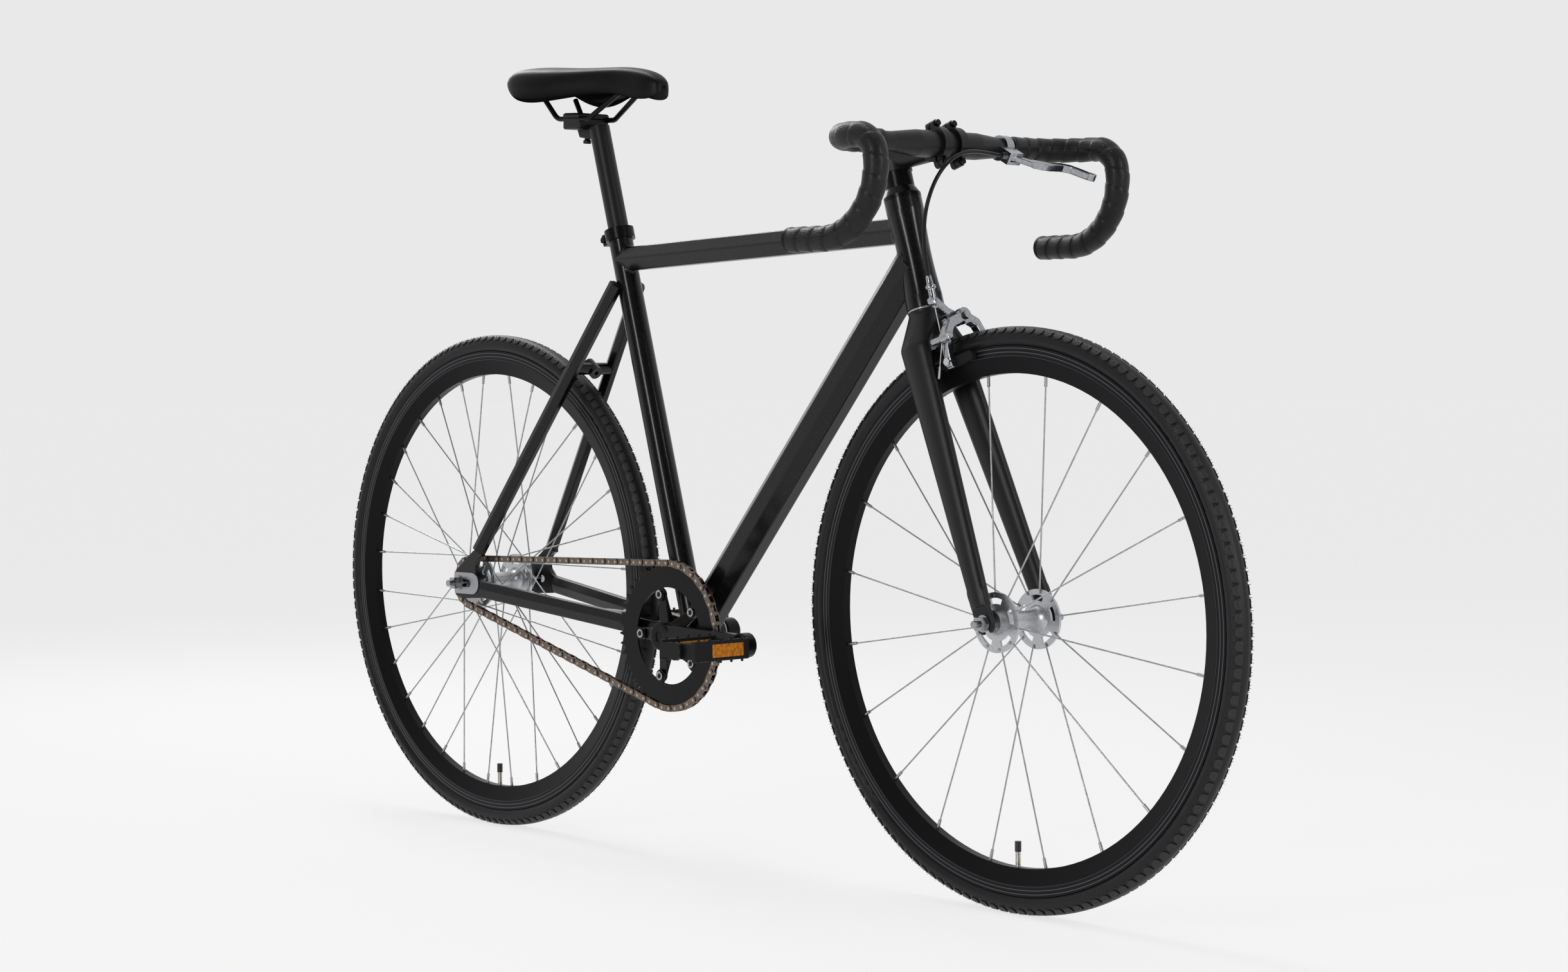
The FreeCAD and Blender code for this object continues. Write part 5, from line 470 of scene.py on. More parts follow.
def rounded(name, nodes, body, material, grain, passes, swell=0.0):
    """A forged copy of one or more nodes, swollen a little and with their edges rounded over."""
    bm = bmesh.new()
    for node in nodes:
        bm.from_mesh(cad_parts[node].data)
    bmesh.ops.remove_doubles(bm, verts=bm.verts, dist=0.00002)
    copy = bpy.data.meshes.new(name + "_sharp")
    bm.to_mesh(copy)
    holder = bpy.data.objects.new(name + "_sharp", copy)
    bpy.context.scene.collection.objects.link(holder)
    remesh = holder.modifiers.new("remesh", "REMESH")
    remesh.mode = "VOXEL"
    remesh.voxel_size = grain
    remesh.use_smooth_shade = True
    fill = holder.modifiers.new("fill", "DISPLACE")
    fill.strength = swell
    fill.mid_level = 0.0
    ease = holder.modifiers.new("ease", "SMOOTH")
    ease.factor = 0.5
    ease.iterations = passes
    mesh = evaluated(holder)
    bpy.data.objects.remove(holder)
    obj = piece(name, mesh, material, body)
    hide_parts(*nodes)
    return obj


rounded("forged_brake_lever", ("brake_lever",), "lever", polished_alloy,
        grain=0.0008, passes=10)
rounded("forged_arm_right", ("caliper_arm_right",), "brake_arm_right", polished_alloy,
        grain=0.0007, passes=6, swell=0.0002)
rounded("forged_arm_left", ("caliper_arm_left",), "brake_arm_left", polished_alloy,
        grain=0.0007, passes=6, swell=0.0009)

# Chain: stamped steel plates with a brown oxide finish, riveted with bright pins.
# The pin heads stand proud of the outer plates, so they are told apart by their place across the chain.
CHAIN_LINE = 0.045
OUTER_PLATE_Y = 0.0041
chain_oxide, tree, shader, place = start_material("brown_oxide_chain", metallic=1.0, roughness=0.36)
across = add(tree, "ShaderNodeSeparateXYZ", {"Vector": place})
off_line = add(tree, "ShaderNodeMath", {0: across.outputs["Y"], 1: CHAIN_LINE}, operation="ADD")
off_size = add(tree, "ShaderNodeMath", {0: off_line.outputs["Value"]}, operation="ABSOLUTE")
pin_zone = add(tree, "ShaderNodeMath", {0: off_size.outputs["Value"], 1: OUTER_PLATE_Y},
               operation="GREATER_THAN")
_, oxide = mottled(tree, place, grain_size=0.005, detail=4.0, dark="#54483f", pale="#8b7d72")
chain_tone = add(tree, "ShaderNodeMix", {"Factor": pin_zone.outputs["Value"], "A": oxide,
                                         "B": linear("#b3aca4")}, data_type="RGBA")
tree.links.new(chain_tone.outputs["Result"], shader.inputs["Base Color"])
dress(chain_oxide, "chain")

# Chainring, cranks, spacers, collar and small black bolts: machined or forged alloy, gloss black anodised.
# The cranks are forged, so their edges are rounded over.
black_anodised, tree, shader, place = start_material("gloss_black_anodised", metallic=0.1, roughness=0.24,
                                                     shine=0.16)
dye, dye_tone = mottled(tree, place, grain_size=0.003, detail=3.0, dark="#070708", pale="#101012")
dye_gloss = add(tree, "ShaderNodeMapRange", {"Value": dye, "To Min": 0.18, "To Max": 0.34})
tree.links.new(dye_tone, shader.inputs["Base Color"])
tree.links.new(dye_gloss.outputs["Result"], shader.inputs["Roughness"])
dress(black_anodised, "chainring", "crank_spindle", "headset_spacers", "seat_clamp", "stem_bolts",
      "saddle_rails")
rounded("forged_crank_right", ("crank_arm_right",), "crank", black_anodised,
        grain=0.0009, passes=4)
rounded("forged_crank_left", ("crank_arm_left",), "crank", black_anodised,
        grain=0.0009, passes=4)

# Chainring bolt heads: plated steel, each with a raised turned rim round a hexagonal socket whose hollow is
# painted shade, a thin black hexagon.
# Five of them stand round the crank's axle on the bolt circle.
RING_BOLTS = 5
BOLT_CIRCLE = 0.055
RIM_SIDES = 24
RIM_PROFILE = ((0.0057, 0.0), (0.0057, 0.0004), (0.0053, 0.0007),
               (0.0038, 0.0007), (0.0034, 0.0004), (0.0033, 0.0))


def turned(profile, sides, place, closed):
    """Ring of smooth faces: a profile of radius and height turned round its axis and put in place."""
    bm = bmesh.new()
    rings = []
    for side in range(sides):
        turn = 2 * math.pi * side / sides
        ring = []
        for r, height in profile:
            ring.append(bm.verts.new(place @ Vector((r * math.cos(turn), r * math.sin(turn), height))))
        rings.append(ring)
    strips = len(profile) if closed else len(profile) - 1
    for first, second in zip(rings, rings[1:] + rings[:1]):
        for k in range(strips):
            after = (k + 1) % len(profile)
            bm.faces.new((first[k], second[k], second[after], first[after])).smooth = True
    bmesh.ops.recalc_face_normals(bm, faces=bm.faces)
    return bm


head_face = Vector((-BOLT_CIRCLE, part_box("chainring_bolts")[0][1], 0))
head_place = Matrix.Translation(head_face) @ Matrix.Rotation(math.pi / 2, 4, "X")
bm = turned(RIM_PROFILE, RIM_SIDES, head_place, closed=False)
round_axle("ring_bolt_rims", bm, RING_BOLTS, BB, bright_plate, "crank")
# Painted shade: each socket's hollow is a thin black hexagon laid on the bolt head
bm = bmesh.new()
bmesh.ops.create_cone(bm, segments=6, radius1=0.0036, radius2=0.0032, depth=0.0004, cap_ends=True,
                      matrix=head_place)
round_axle("ring_bolt_socket_shade", bm, RING_BOLTS, BB, black_anodised, "crank")

# Pedals: moulded black nylon platforms with grip pins, and orange reflectors let into their sides.
# Moulded nylon has a fine spark-eroded grain; a reflector is clear plastic over rows of small prisms.
PRISM_SIZE = 0.0045
moulded_nylon, tree, shader, place = start_material("moulded_nylon", metallic=0.0, roughness=0.42, shine=0.18)
grain, nylon_tone = mottled(tree, place, grain_size=0.0011, detail=2.0, dark="#0a0a0b", pale="#141416")
nylon_grain = add(tree, "ShaderNodeBump", {"Height": grain, "Strength": 0.2, "Distance": 0.0003})
tree.links.new(nylon_tone, shader.inputs["Base Color"])
tree.links.new(nylon_grain.outputs["Normal"], shader.inputs["Normal"])
dress(moulded_nylon, "pedal_right", "pedal_left", "bar_end_plugs")
reflector_amber, tree, shader, place = start_material("amber_prism_plastic", metallic=0.0, roughness=0.2,
                                                      shine=0.2)
prism = add(tree, "ShaderNodeTexVoronoi", {"Vector": place, "Scale": 1 / PRISM_SIZE}, distance="CHEBYCHEV")
amber_tone = add(tree, "ShaderNodeMix", {"Factor": prism.outputs["Distance"], "A": linear("#cf7d08"),
                                         "B": linear("#5a2c00")}, data_type="RGBA")
prism_face = add(tree, "ShaderNodeBump", {"Height": prism.outputs["Distance"], "Strength": 0.5,
                                          "Distance": 0.0008})
tree.links.new(amber_tone.outputs["Result"], shader.inputs["Base Color"])
tree.links.new(prism_face.outputs["Normal"], shader.inputs["Normal"])
dress(reflector_amber, "pedal_reflectors_right", "pedal_reflectors_left")

# Stem, handlebar, seatpost and rail clamp: alloy with a satin black powder coat, which the fork has too.
# Powder coat is even and dull, with a slight roll to its surface.
satin_black, tree, shader, place = start_material("satin_powder_coat", metallic=0.0, roughness=0.33,
                                                  shine=0.34)
roll, coat_tone = mottled(tree, place, grain_size=0.0022, detail=2.0, dark="#080809", pale="#0f0f11")
coat_gloss = add(tree, "ShaderNodeMapRange", {"Value": roll, "To Min": 0.36, "To Max": 0.46})
coat_roll = add(tree, "ShaderNodeBump", {"Height": roll, "Strength": 0.05, "Distance": 0.0004})
tree.links.new(coat_tone, shader.inputs["Base Color"])
tree.links.new(coat_gloss.outputs["Result"], shader.inputs["Roughness"])
tree.links.new(coat_roll.outputs["Normal"], shader.inputs["Normal"])
dress(satin_black, "stem", "stem_faceplate", "handlebar", "seatpost")
rounded("cast_rail_clamp", ("rail_clamp",), "seat", satin_black, grain=0.0008, passes=10)

# Fork: forged crown and blades that flow into each other, so they are one skin here.
# The skin is eased most at the shoulders, between two heights along the steering line.
SHOULDER_LOW = -0.078
SHOULDER_HIGH = -0.012
SHOULDER_PASSES = 14
fork = rounded("forged_fork", ("fork_crown", "fork_blades"), "steering", satin_black,
               grain=0.0014, passes=10)
bm = bmesh.new()
bm.from_mesh(fork.data)
shoulder = [vert for vert in bm.verts
            if SHOULDER_LOW < (vert.co - HEAD_LOW).dot(STEER_LINE) < SHOULDER_HIGH]
for turn in range(SHOULDER_PASSES):
    bmesh.ops.smooth_vert(bm, verts=shoulder, factor=0.5, use_axis_x=True, use_axis_y=True, use_axis_z=True)
bm.to_mesh(fork.data)

# Lower headset ring: a thin turned steel ring, plated.
# It shows bright between the head tube and the fork crown.
RACE_SIDES = 64
RACE_PROFILE = ((0.0221, -0.0032), (0.0229, -0.0029), (0.0230, -0.0019), (0.0229, -0.0009), (0.0221, -0.0007))
crown_turn = STEER_LINE.to_track_quat("Z", "Y").to_matrix().to_4x4()
bm = turned(RACE_PROFILE, RACE_SIDES, Matrix.Translation(HEAD_LOW) @ crown_turn, closed=True)
mesh = bpy.data.meshes.new("crown_race")
bm.to_mesh(mesh)
piece("crown_race", mesh, bright_plate, "steering")

# Bar tape: a padded black strip wound round the bar from the stem out, each turn lapping the last.
# The strip is soft foam with an embossed skin: a fine grid of raised bricks about 2 mm long, with the grooves
# between them darkened as painted shade.
BAR_CENTRE = Vector((0.377599, 0, 0.891621))
TAPE_R = 0.0139
LAP = 0.021
LAP_RISE = 0.0009
TAPE_STEP = 0.0011
TAPE_SIDES = 72
BEND_STEPS = 32
BRICKS_ROUND = 48.0
BRICK_LENGTH = 0.0024
TAPE_RUN = ((0, 0.107, 0, 0), (0, 0.200, 0, 0.058), (0.091, 0.200, 0, 0.031), (0.091, 0.20333, -0.115, 0.080),
            (-0.038, 0.210, -0.115, 0))
wrap = bpy.data.node_groups.new("wound_tape", "GeometryNodeTree")
wrap.interface.new_socket("Geometry", in_out="INPUT", socket_type="NodeSocketGeometry")
radius_socket = wrap.interface.new_socket("Tape radius", in_out="INPUT", socket_type="NodeSocketFloat")
lap_socket = wrap.interface.new_socket("Lap", in_out="INPUT", socket_type="NodeSocketFloat")
rise_socket = wrap.interface.new_socket("Lap rise", in_out="INPUT", socket_type="NodeSocketFloat")
tape_socket = wrap.interface.new_socket("Finish", in_out="INPUT", socket_type="NodeSocketMaterial")
wrap.interface.new_socket("Geometry", in_out="OUTPUT", socket_type="NodeSocketGeometry")
given = add(wrap, "NodeGroupInput").outputs
bend = add(wrap, "GeometryNodeInputNamedAttribute", {"Name": "bend"}, data_type="FLOAT")
line = add(wrap, "GeometryNodeMeshToCurve", {"Mesh": given["Geometry"]})
bent = add(wrap, "GeometryNodeFilletCurve", {"Curve": line.outputs["Curve"], "Count": BEND_STEPS,
                                             "Radius": bend.outputs["Attribute"]}, mode="POLY")
fine = add(wrap, "GeometryNodeResampleCurve", {"Curve": bent.outputs["Curve"], "Length": TAPE_STEP},
           mode="LENGTH")
run = add(wrap, "GeometryNodeSplineParameter")
kept = add(wrap, "GeometryNodeStoreNamedAttribute", {"Geometry": fine.outputs["Curve"], "Name": "along",
                                                     "Value": run.outputs["Length"]}, data_type="FLOAT")
hoop = add(wrap, "GeometryNodeCurvePrimitiveCircle", {"Resolution": TAPE_SIDES,
                                                      "Radius": given["Tape radius"]})
way_round = add(wrap, "GeometryNodeSplineParameter")
hoop_kept = add(wrap, "GeometryNodeStoreNamedAttribute", {"Geometry": hoop.outputs["Curve"], "Name": "around",
                                                          "Value": way_round.outputs["Factor"]},
                data_type="FLOAT")
tube = add(wrap, "GeometryNodeCurveToMesh", {"Curve": kept.outputs["Geometry"],
                                             "Profile Curve": hoop_kept.outputs["Geometry"],
                                             "Fill Caps": True})
along = add(wrap, "GeometryNodeInputNamedAttribute", {"Name": "along"}, data_type="FLOAT")
around = add(wrap, "GeometryNodeInputNamedAttribute", {"Name": "around"}, data_type="FLOAT")
laps = add(wrap, "ShaderNodeMath", {0: along.outputs["Attribute"], 1: given["Lap"]}, operation="DIVIDE")
spiral = add(wrap, "ShaderNodeMath", {0: laps.outputs["Value"], 1: around.outputs["Attribute"]},
             operation="ADD")
in_lap = add(wrap, "ShaderNodeMath", {0: spiral.outputs["Value"]}, operation="FRACT")
lap_up = add(wrap, "ShaderNodeMapRange", {"Value": in_lap.outputs["Value"], "From Max": 0.12},
             interpolation_type="SMOOTHSTEP")
lap_down = add(wrap, "ShaderNodeMapRange", {"Value": in_lap.outputs["Value"], "From Min": 0.3,
                                            "To Min": 1.0, "To Max": 0.0})
lap_shape = add(wrap, "ShaderNodeMath", {0: lap_up.outputs["Result"], 1: lap_down.outputs["Result"]},
                operation="MULTIPLY")
lap_high = add(wrap, "ShaderNodeMath", {0: lap_shape.outputs["Value"], 1: given["Lap rise"]},
               operation="MULTIPLY")
outward = add(wrap, "GeometryNodeInputNormal")
lift = add(wrap, "ShaderNodeVectorMath", {0: outward.outputs["Normal"], "Scale": lap_high.outputs["Value"]},
           operation="SCALE")
wound = add(wrap, "GeometryNodeSetPosition", {"Geometry": tube.outputs["Mesh"],
                                              "Offset": lift.outputs["Vector"]})
smooth = add(wrap, "GeometryNodeSetShadeSmooth", {"Geometry": wound.outputs["Geometry"]})
real = add(wrap, "GeometryNodeRealizeInstances", {"Geometry": smooth.outputs["Geometry"]})
coated = add(wrap, "GeometryNodeSetMaterial", {"Geometry": real.outputs["Geometry"],
                                               "Material": given["Finish"]})
add(wrap, "NodeGroupOutput", {"Geometry": coated.outputs["Geometry"]})

foam_tape, tree, shader, place = start_material("embossed_foam_tape", metallic=0.0, roughness=0.36, shine=0.3)
along_run = add(tree, "ShaderNodeAttribute", attribute_name="along")
round_run = add(tree, "ShaderNodeAttribute", attribute_name="around")
bricks_round = add(tree, "ShaderNodeMath", {0: round_run.outputs["Fac"], 1: BRICKS_ROUND},
                   operation="MULTIPLY")
bricks_along = add(tree, "ShaderNodeMath", {0: along_run.outputs["Fac"], 1: 1 / BRICK_LENGTH},
                   operation="MULTIPLY")
brick_place = add(tree, "ShaderNodeCombineXYZ", {"X": bricks_along.outputs["Value"],
                                                 "Y": bricks_round.outputs["Value"]})
brick_grid = add(tree, "ShaderNodeTexBrick", {"Vector": brick_place.outputs["Vector"], "Scale": 1.0,
                                              "Mortar Size": 0.16, "Mortar Smooth": 0.7, "Brick Width": 1.0,
                                              "Row Height": 1.0})
foam = add(tree, "ShaderNodeTexNoise", {"Vector": place, "Scale": 1 / 0.0014, "Detail": 2.0})
tape_height = add(tree, "ShaderNodeMath", {0: foam.outputs["Fac"], 1: -0.25, 2: brick_grid.outputs["Fac"]},
                  operation="MULTIPLY_ADD")
tape_relief = add(tree, "ShaderNodeBump", {"Height": tape_height.outputs["Value"], "Strength": 0.8,
                                           "Distance": 0.0006}, invert=True)
# Painted shade: bricks keep the tape's tone, and the sunken grooves between them are painted near black
brick_tone_and_groove_shade = add(tree, "ShaderNodeMix", {"Factor": brick_grid.outputs["Fac"], "A": linear("#161618"),
                                        "B": linear("#050505")}, data_type="RGBA")
tree.links.new(brick_tone_and_groove_shade.outputs["Result"], shader.inputs["Base Color"])
tree.links.new(tape_relief.outputs["Normal"], shader.inputs["Normal"])

bm = bmesh.new()
for side in (1, -1):
    verts = [bm.verts.new(BAR_CENTRE + Vector((x, side * y, z))) for x, y, z, bend_r in TAPE_RUN]
    for first, second in zip(verts, verts[1:]):
        bm.edges.new((first, second))
guide = bpy.data.meshes.new("tape_guide")
bm.to_mesh(guide)
guide.attributes.new("bend", "FLOAT", "POINT").data.foreach_set("value", [row[3] for row in TAPE_RUN] * 2)
winder = bpy.data.objects.new("tape_guide", guide)
bpy.context.scene.collection.objects.link(winder)
maker = winder.modifiers.new("wind", "NODES")
maker.node_group = wrap
maker[radius_socket.identifier] = TAPE_R
maker[lap_socket.identifier] = LAP
maker[rise_socket.identifier] = LAP_RISE
maker[tape_socket.identifier] = foam_tape
mesh = evaluated(winder)
bpy.data.objects.remove(winder)
tape = piece("wound_bar_tape", mesh, foam_tape, "steering")
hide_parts("bar_tapes")

# Cable housing: a stiff black plastic-coated spiral casing from the lever's stop to the brake's barrel.
# It bows forward round the stem in one smooth loop.
HOUSING_ROUTE = (
    (0.39703, 0.0750, 0.88129), (0.3996, 0.0510, 0.8830), (0.4036, 0.0260, 0.8840),
    (0.4074, 0.0020, 0.8818), (0.4096, -0.0200, 0.8740), (0.4092, -0.0380, 0.8600),
    (0.4062, -0.0500, 0.8400), (0.4010, -0.0555, 0.8150), (0.3944, -0.0525, 0.7900),
    (0.3880, -0.0450, 0.7685), (0.3846, -0.0380, 0.7525), (0.38396, -0.0350, 0.73813))
casing = bpy.data.curves.new("cable_casing", "CURVE")
casing.dimensions = "3D"
casing.bevel_depth = 0.0024
casing.bevel_resolution = 6
casing.resolution_u = 16
casing.use_fill_caps = True
spline = casing.splines.new("NURBS")
spline.points.add(len(HOUSING_ROUTE) - 1)
for point, spot in zip(spline.points, HOUSING_ROUTE):
    point.co = spot + (1.0,)
spline.order_u = 3
spline.use_endpoint_u = True
casing_plastic, tree, shader, place = start_material("extruded_pvc_casing", metallic=0.0, roughness=0.26,
                                                     shine=0.2)
_, casing_tone = mottled(tree, place, grain_size=0.006, detail=2.0, dark="#0b0b0c", pale="#19191b")
tree.links.new(casing_tone, shader.inputs["Base Color"])
housing = bpy.data.objects.new("cable_casing", casing)
bpy.context.scene.collection.objects.link(housing)
casing.materials.append(casing_plastic)
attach(housing, "steering")
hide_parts("cable_housing")

# Brake pads: black moulded rubber blocks in the arms.
# Each is held by a plated bolt whose head shows outside the arm.
PAD_BOLT_Y = 0.0222
pad_rubber, tree, shader, place = start_material("moulded_pad_rubber", metallic=0.0, roughness=0.5,
                                                 shine=0.18)
across = add(tree, "ShaderNodeSeparateXYZ", {"Vector": place})
from_middle = add(tree, "ShaderNodeMath", {0: across.outputs["Y"]}, operation="ABSOLUTE")
bolt_zone = add(tree, "ShaderNodeMath", {0: from_middle.outputs["Value"], 1: PAD_BOLT_Y},
                operation="GREATER_THAN")
_, pad_tone = mottled(tree, place, grain_size=0.0015, detail=2.0, dark="#0f0f10", pale="#1c1c1d")
pad_mix = add(tree, "ShaderNodeMix", {"Factor": bolt_zone.outputs["Value"], "A": pad_tone,
                                      "B": linear("#c9cacc")}, data_type="RGBA")
pad_gloss = add(tree, "ShaderNodeMapRange", {"Value": bolt_zone.outputs["Value"], "To Min": 0.6,
                                             "To Max": 0.2})
tree.links.new(pad_mix.outputs["Result"], shader.inputs["Base Color"])
tree.links.new(bolt_zone.outputs["Value"], shader.inputs["Metallic"])
tree.links.new(pad_gloss.outputs["Result"], shader.inputs["Roughness"])
dress(pad_rubber, "brake_pad_right", "brake_pad_left")

# Saddle: thin firm foam on a shell, covered in smooth black synthetic leather pulled under the edge.
# The crown dips at the waist, rises to the tail, and the sides roll under to a hemmed edge round a
# hollow underside, which is unpolished and takes no shine.
SADDLE_NOSE = Vector((-0.13052, 0, 0.97441))
SADDLE_LENGTH = 0.258
SADDLE_HALF = 0.074
SADDLE_DEPTH = 0.060
SADDLE_ROWS = (
    (0.0, 0.07, 0.40, 0.22), (0.006, 0.125, 0.47, 0.165), (0.02, 0.17, 0.53, 0.12),
    (0.06, 0.235, 0.645, 0.07), (0.11, 0.268, 0.72, 0.075), (0.16, 0.292, 0.77, 0.10),
    (0.22, 0.322, 0.815, 0.165), (0.29, 0.366, 0.85, 0.235), (0.365, 0.455, 0.865, 0.25),
    (0.44, 0.57, 0.877, 0.24), (0.515, 0.695, 0.892, 0.205), (0.59, 0.81, 0.912, 0.17),
    (0.665, 0.905, 0.94, 0.14), (0.74, 0.97, 0.968, 0.125), (0.805, 0.998, 0.99, 0.145),
    (0.87, 0.998, 0.998, 0.20), (0.92, 0.955, 0.975, 0.29), (0.96, 0.888, 0.925, 0.40),
    (0.985, 0.80, 0.85, 0.485), (1.0, 0.68, 0.75, 0.56))
SADDLE_PROFILE = (
    (0.0, 0.66), (0.42, 0.62), (0.68, 0.4), (0.80, 0.03), (0.88, 0.0), (0.955, 0.12), (1.0, 0.36),
    (0.985, 0.58), (0.925, 0.76), (0.82, 0.865), (0.64, 0.935), (0.42, 0.975), (0.2, 0.995), (0.0, 1.0))
SADDLE_SECTION = SADDLE_PROFILE + tuple((-across, rise) for across, rise in SADDLE_PROFILE[-2:0:-1])
bm = bmesh.new()
rows = []
for length, width, crown, skirt in SADDLE_ROWS:
    row = []
    for across, rise in SADDLE_SECTION:
        height = skirt + (crown - skirt) * rise
        row.append(bm.verts.new(SADDLE_NOSE + Vector((-SADDLE_LENGTH * length, SADDLE_HALF * width * across,
                                                      SADDLE_DEPTH * height))))
    rows.append(row)
for first, second in zip(rows, rows[1:]):
    for k in range(len(first)):
        after = (k + 1) % len(first)
        bm.faces.new((first[k], first[after], second[after], second[k])).smooth = True
bm.faces.new(rows[0]).smooth = True
bm.faces.new(rows[-1]).smooth = True
bmesh.ops.recalc_face_normals(bm, faces=bm.faces)
mesh = bpy.data.meshes.new("saddle_cushion")
bm.to_mesh(mesh)
shaping = bpy.data.objects.new("saddle_shaping", mesh)
bpy.context.scene.collection.objects.link(shaping)
finer = shaping.modifiers.new("finer", "SUBSURF")
finer.levels = 2
finer.render_levels = 2
mesh = evaluated(shaping)
bpy.data.objects.remove(shaping)
synthetic_leather, tree, shader, place = start_material("smooth_synthetic_leather", metallic=0.0,
                                                        roughness=0.36, shine=0.14)
pores = add(tree, "ShaderNodeTexVoronoi", {"Vector": place, "Scale": 1 / 0.0014})
handling, leather_tone = mottled(tree, place, grain_size=0.02, detail=3.0, dark="#090909", pale="#121213")
leather_gloss = add(tree, "ShaderNodeMapRange", {"Value": handling, "To Min": 0.34, "To Max": 0.5})
leather_grain = add(tree, "ShaderNodeBump", {"Height": pores.outputs["Distance"], "Strength": 0.12,
                                             "Distance": 0.0003})
tree.links.new(leather_tone, shader.inputs["Base Color"])
tree.links.new(leather_gloss.outputs["Result"], shader.inputs["Roughness"])
tree.links.new(leather_grain.outputs["Normal"], shader.inputs["Normal"])
facing = add(tree, "ShaderNodeNewGeometry").outputs["Normal"]
upright = add(tree, "ShaderNodeSeparateXYZ", {"Vector": facing})
cover_shine = add(tree, "ShaderNodeMapRange", {"Value": upright.outputs["Z"], "From Min": -0.55,
                                               "From Max": -0.1, "To Max": 0.14})
tree.links.new(cover_shine.outputs["Result"], shader.inputs["Specular IOR Level"])
saddle = piece("saddle_cushion", mesh, synthetic_leather, "seat")
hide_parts("saddle")

# Studio: a pale seamless floor and backdrop under three soft strip lamps, with the camera at the
# viewing angle. Reflections see the backdrop bright behind the object and dim on the camera's side.
FLOOR_HALF = 40
FLOOR_GLOW = 0.78
BACKDROP_WAY = (-0.738, 0.675, 0.0)
NEAR_SIDE_LIGHT = 0.18
AMBIENT_LIGHT = 0.42
STRIPS = (("overhead_strip", (-1.6, 0.5, 2.55), (0.1, 0, 0.6), 0.5, 3.4, 42),
          ("left_strip", (0.9, -3.3, 1.4), (0.1, 0, 0.6), 0.5, 1.8, 34),
          ("right_strip", (3.4, 0.1, 1.5), (0.2, 0, 0.6), 0.5, 1.8, 32))
AZIMUTH = 0.8299
ELEVATION = 0.0390
ROLL = -0.0052
CAMERA_SPOT = Vector((2.94574, -2.60760, 0.63504))


def seen_rays(tree):
    """Light path of a ray, and whether the ray shows the background in the picture or in a shine."""
    ray = add(tree, "ShaderNodeLightPath").outputs
    seen = add(tree, "ShaderNodeMath", {0: ray["Is Camera Ray"], 1: ray["Is Glossy Ray"]},
               operation="MAXIMUM")
    seen_any = add(tree, "ShaderNodeMath", {0: seen.outputs["Value"], 1: ray["Is Transmission Ray"]},
                   operation="MAXIMUM")
    return ray, seen_any.outputs["Value"]


floor_mesh = bpy.data.meshes.new("studio_floor")
bm = bmesh.new()
bmesh.ops.create_grid(bm, x_segments=2, y_segments=2, size=FLOOR_HALF)
bm.to_mesh(floor_mesh)
floor = bpy.data.objects.new("studio_floor", floor_mesh)
bpy.context.scene.collection.objects.link(floor)
studio_paper, tree, shader, place = start_material("studio_paper", metallic=0.0, roughness=0.9)
shader.inputs["Base Color"].default_value = linear("#fafafa")
fibres = add(tree, "ShaderNodeTexNoise", {"Vector": place, "Scale": 2.0})
paper = add(tree, "ShaderNodeMapRange", {"Value": fibres.outputs["Fac"], "To Min": 0.86, "To Max": 0.94})
tree.links.new(paper.outputs["Result"], shader.inputs["Roughness"])
ray, seen = seen_rays(tree)
share = add(tree, "ShaderNodeMath", {0: seen, 1: FLOOR_GLOW}, operation="MULTIPLY")
glow = add(tree, "ShaderNodeEmission", {"Color": linear("#f7f7f7"), "Strength": 1.0})
lit_paper = add(tree, "ShaderNodeMixShader", {0: share.outputs["Value"], 1: shader.outputs["BSDF"],
                                              2: glow.outputs["Emission"]})
tree.links.new(lit_paper.outputs["Shader"], tree.nodes["Material Output"].inputs["Surface"])
floor_mesh.materials.append(studio_paper)
world = bpy.data.worlds.new("studio")
bpy.context.scene.world = world
world.use_nodes = True
tree = world.node_tree
tree.nodes.clear()
ray, seen = seen_rays(tree)
look = add(tree, "ShaderNodeTexCoord").outputs["Generated"]
towards = add(tree, "ShaderNodeVectorMath", {0: look, 1: BACKDROP_WAY}, operation="DOT_PRODUCT")
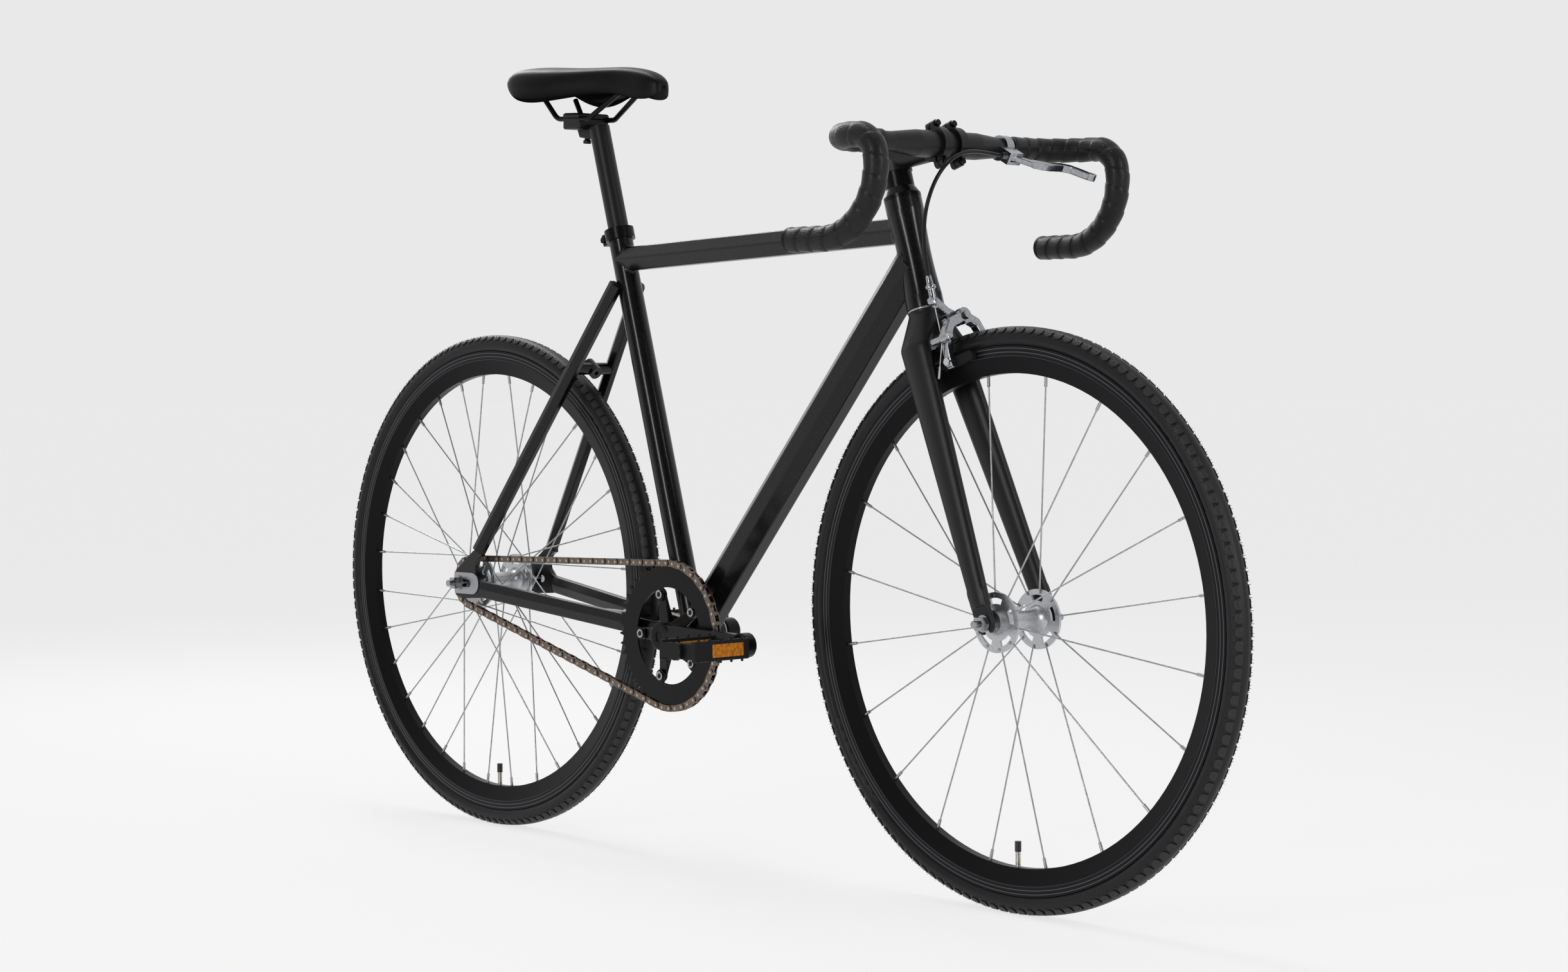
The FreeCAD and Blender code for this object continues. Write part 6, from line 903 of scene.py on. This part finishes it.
sweep = add(tree, "ShaderNodeMapRange", {"Value": towards.outputs["Value"], "From Min": -0.5, "From Max": 0.1,
                                         "To Min": NEAR_SIDE_LIGHT}, interpolation_type="SMOOTHSTEP")
paper_light = add(tree, "ShaderNodeMath", {0: sweep.outputs["Result"], 1: ray["Is Camera Ray"]},
                  operation="MAXIMUM")
backdrop = add(tree, "ShaderNodeBackground", {"Color": linear("#e9e9e9"),
                                              "Strength": paper_light.outputs["Value"]})
ambient = add(tree, "ShaderNodeBackground", {"Color": (1.0, 1.0, 1.0, 1.0), "Strength": AMBIENT_LIGHT})
chosen = add(tree, "ShaderNodeMixShader", {0: seen, 1: ambient.outputs["Background"],
                                           2: backdrop.outputs["Background"]})
add(tree, "ShaderNodeOutputWorld", {"Surface": chosen.outputs["Shader"]})
for name, spot, aim, width, height, power in STRIPS:
    lamp_data = bpy.data.lights.new(name, "AREA")
    lamp_data.shape = "RECTANGLE"
    lamp_data.size = width
    lamp_data.size_y = height
    lamp_data.energy = power
    lamp = bpy.data.objects.new(name, lamp_data)
    bpy.context.scene.collection.objects.link(lamp)
    lamp.location = spot
    lamp.rotation_euler = (Vector(aim) - Vector(spot)).to_track_quat("-Z", "Y").to_euler()
back = Vector((math.sin(AZIMUTH) * math.cos(ELEVATION), -math.cos(AZIMUTH) * math.cos(ELEVATION),
               math.sin(ELEVATION)))
level_right = Vector((0, 0, 1)).cross(back).normalized()
level_up = back.cross(level_right)
right = level_right * math.cos(ROLL) + level_up * math.sin(ROLL)
up = level_up * math.cos(ROLL) - level_right * math.sin(ROLL)
camera_data = bpy.data.cameras.new("photo_camera")
camera_data.sensor_fit = "HORIZONTAL"
camera_data.sensor_width = 36.0
camera_data.lens = 71.335
camera_data.clip_end = 200
camera = bpy.data.objects.new("photo_camera", camera_data)
bpy.context.scene.collection.objects.link(camera)
camera.matrix_world = Matrix(((right.x, up.x, back.x, CAMERA_SPOT.x), (right.y, up.y, back.y, CAMERA_SPOT.y),
                              (right.z, up.z, back.z, CAMERA_SPOT.z), (0, 0, 0, 1)))
bpy.context.scene.camera = camera
bpy.context.scene.view_settings.view_transform = "Standard"
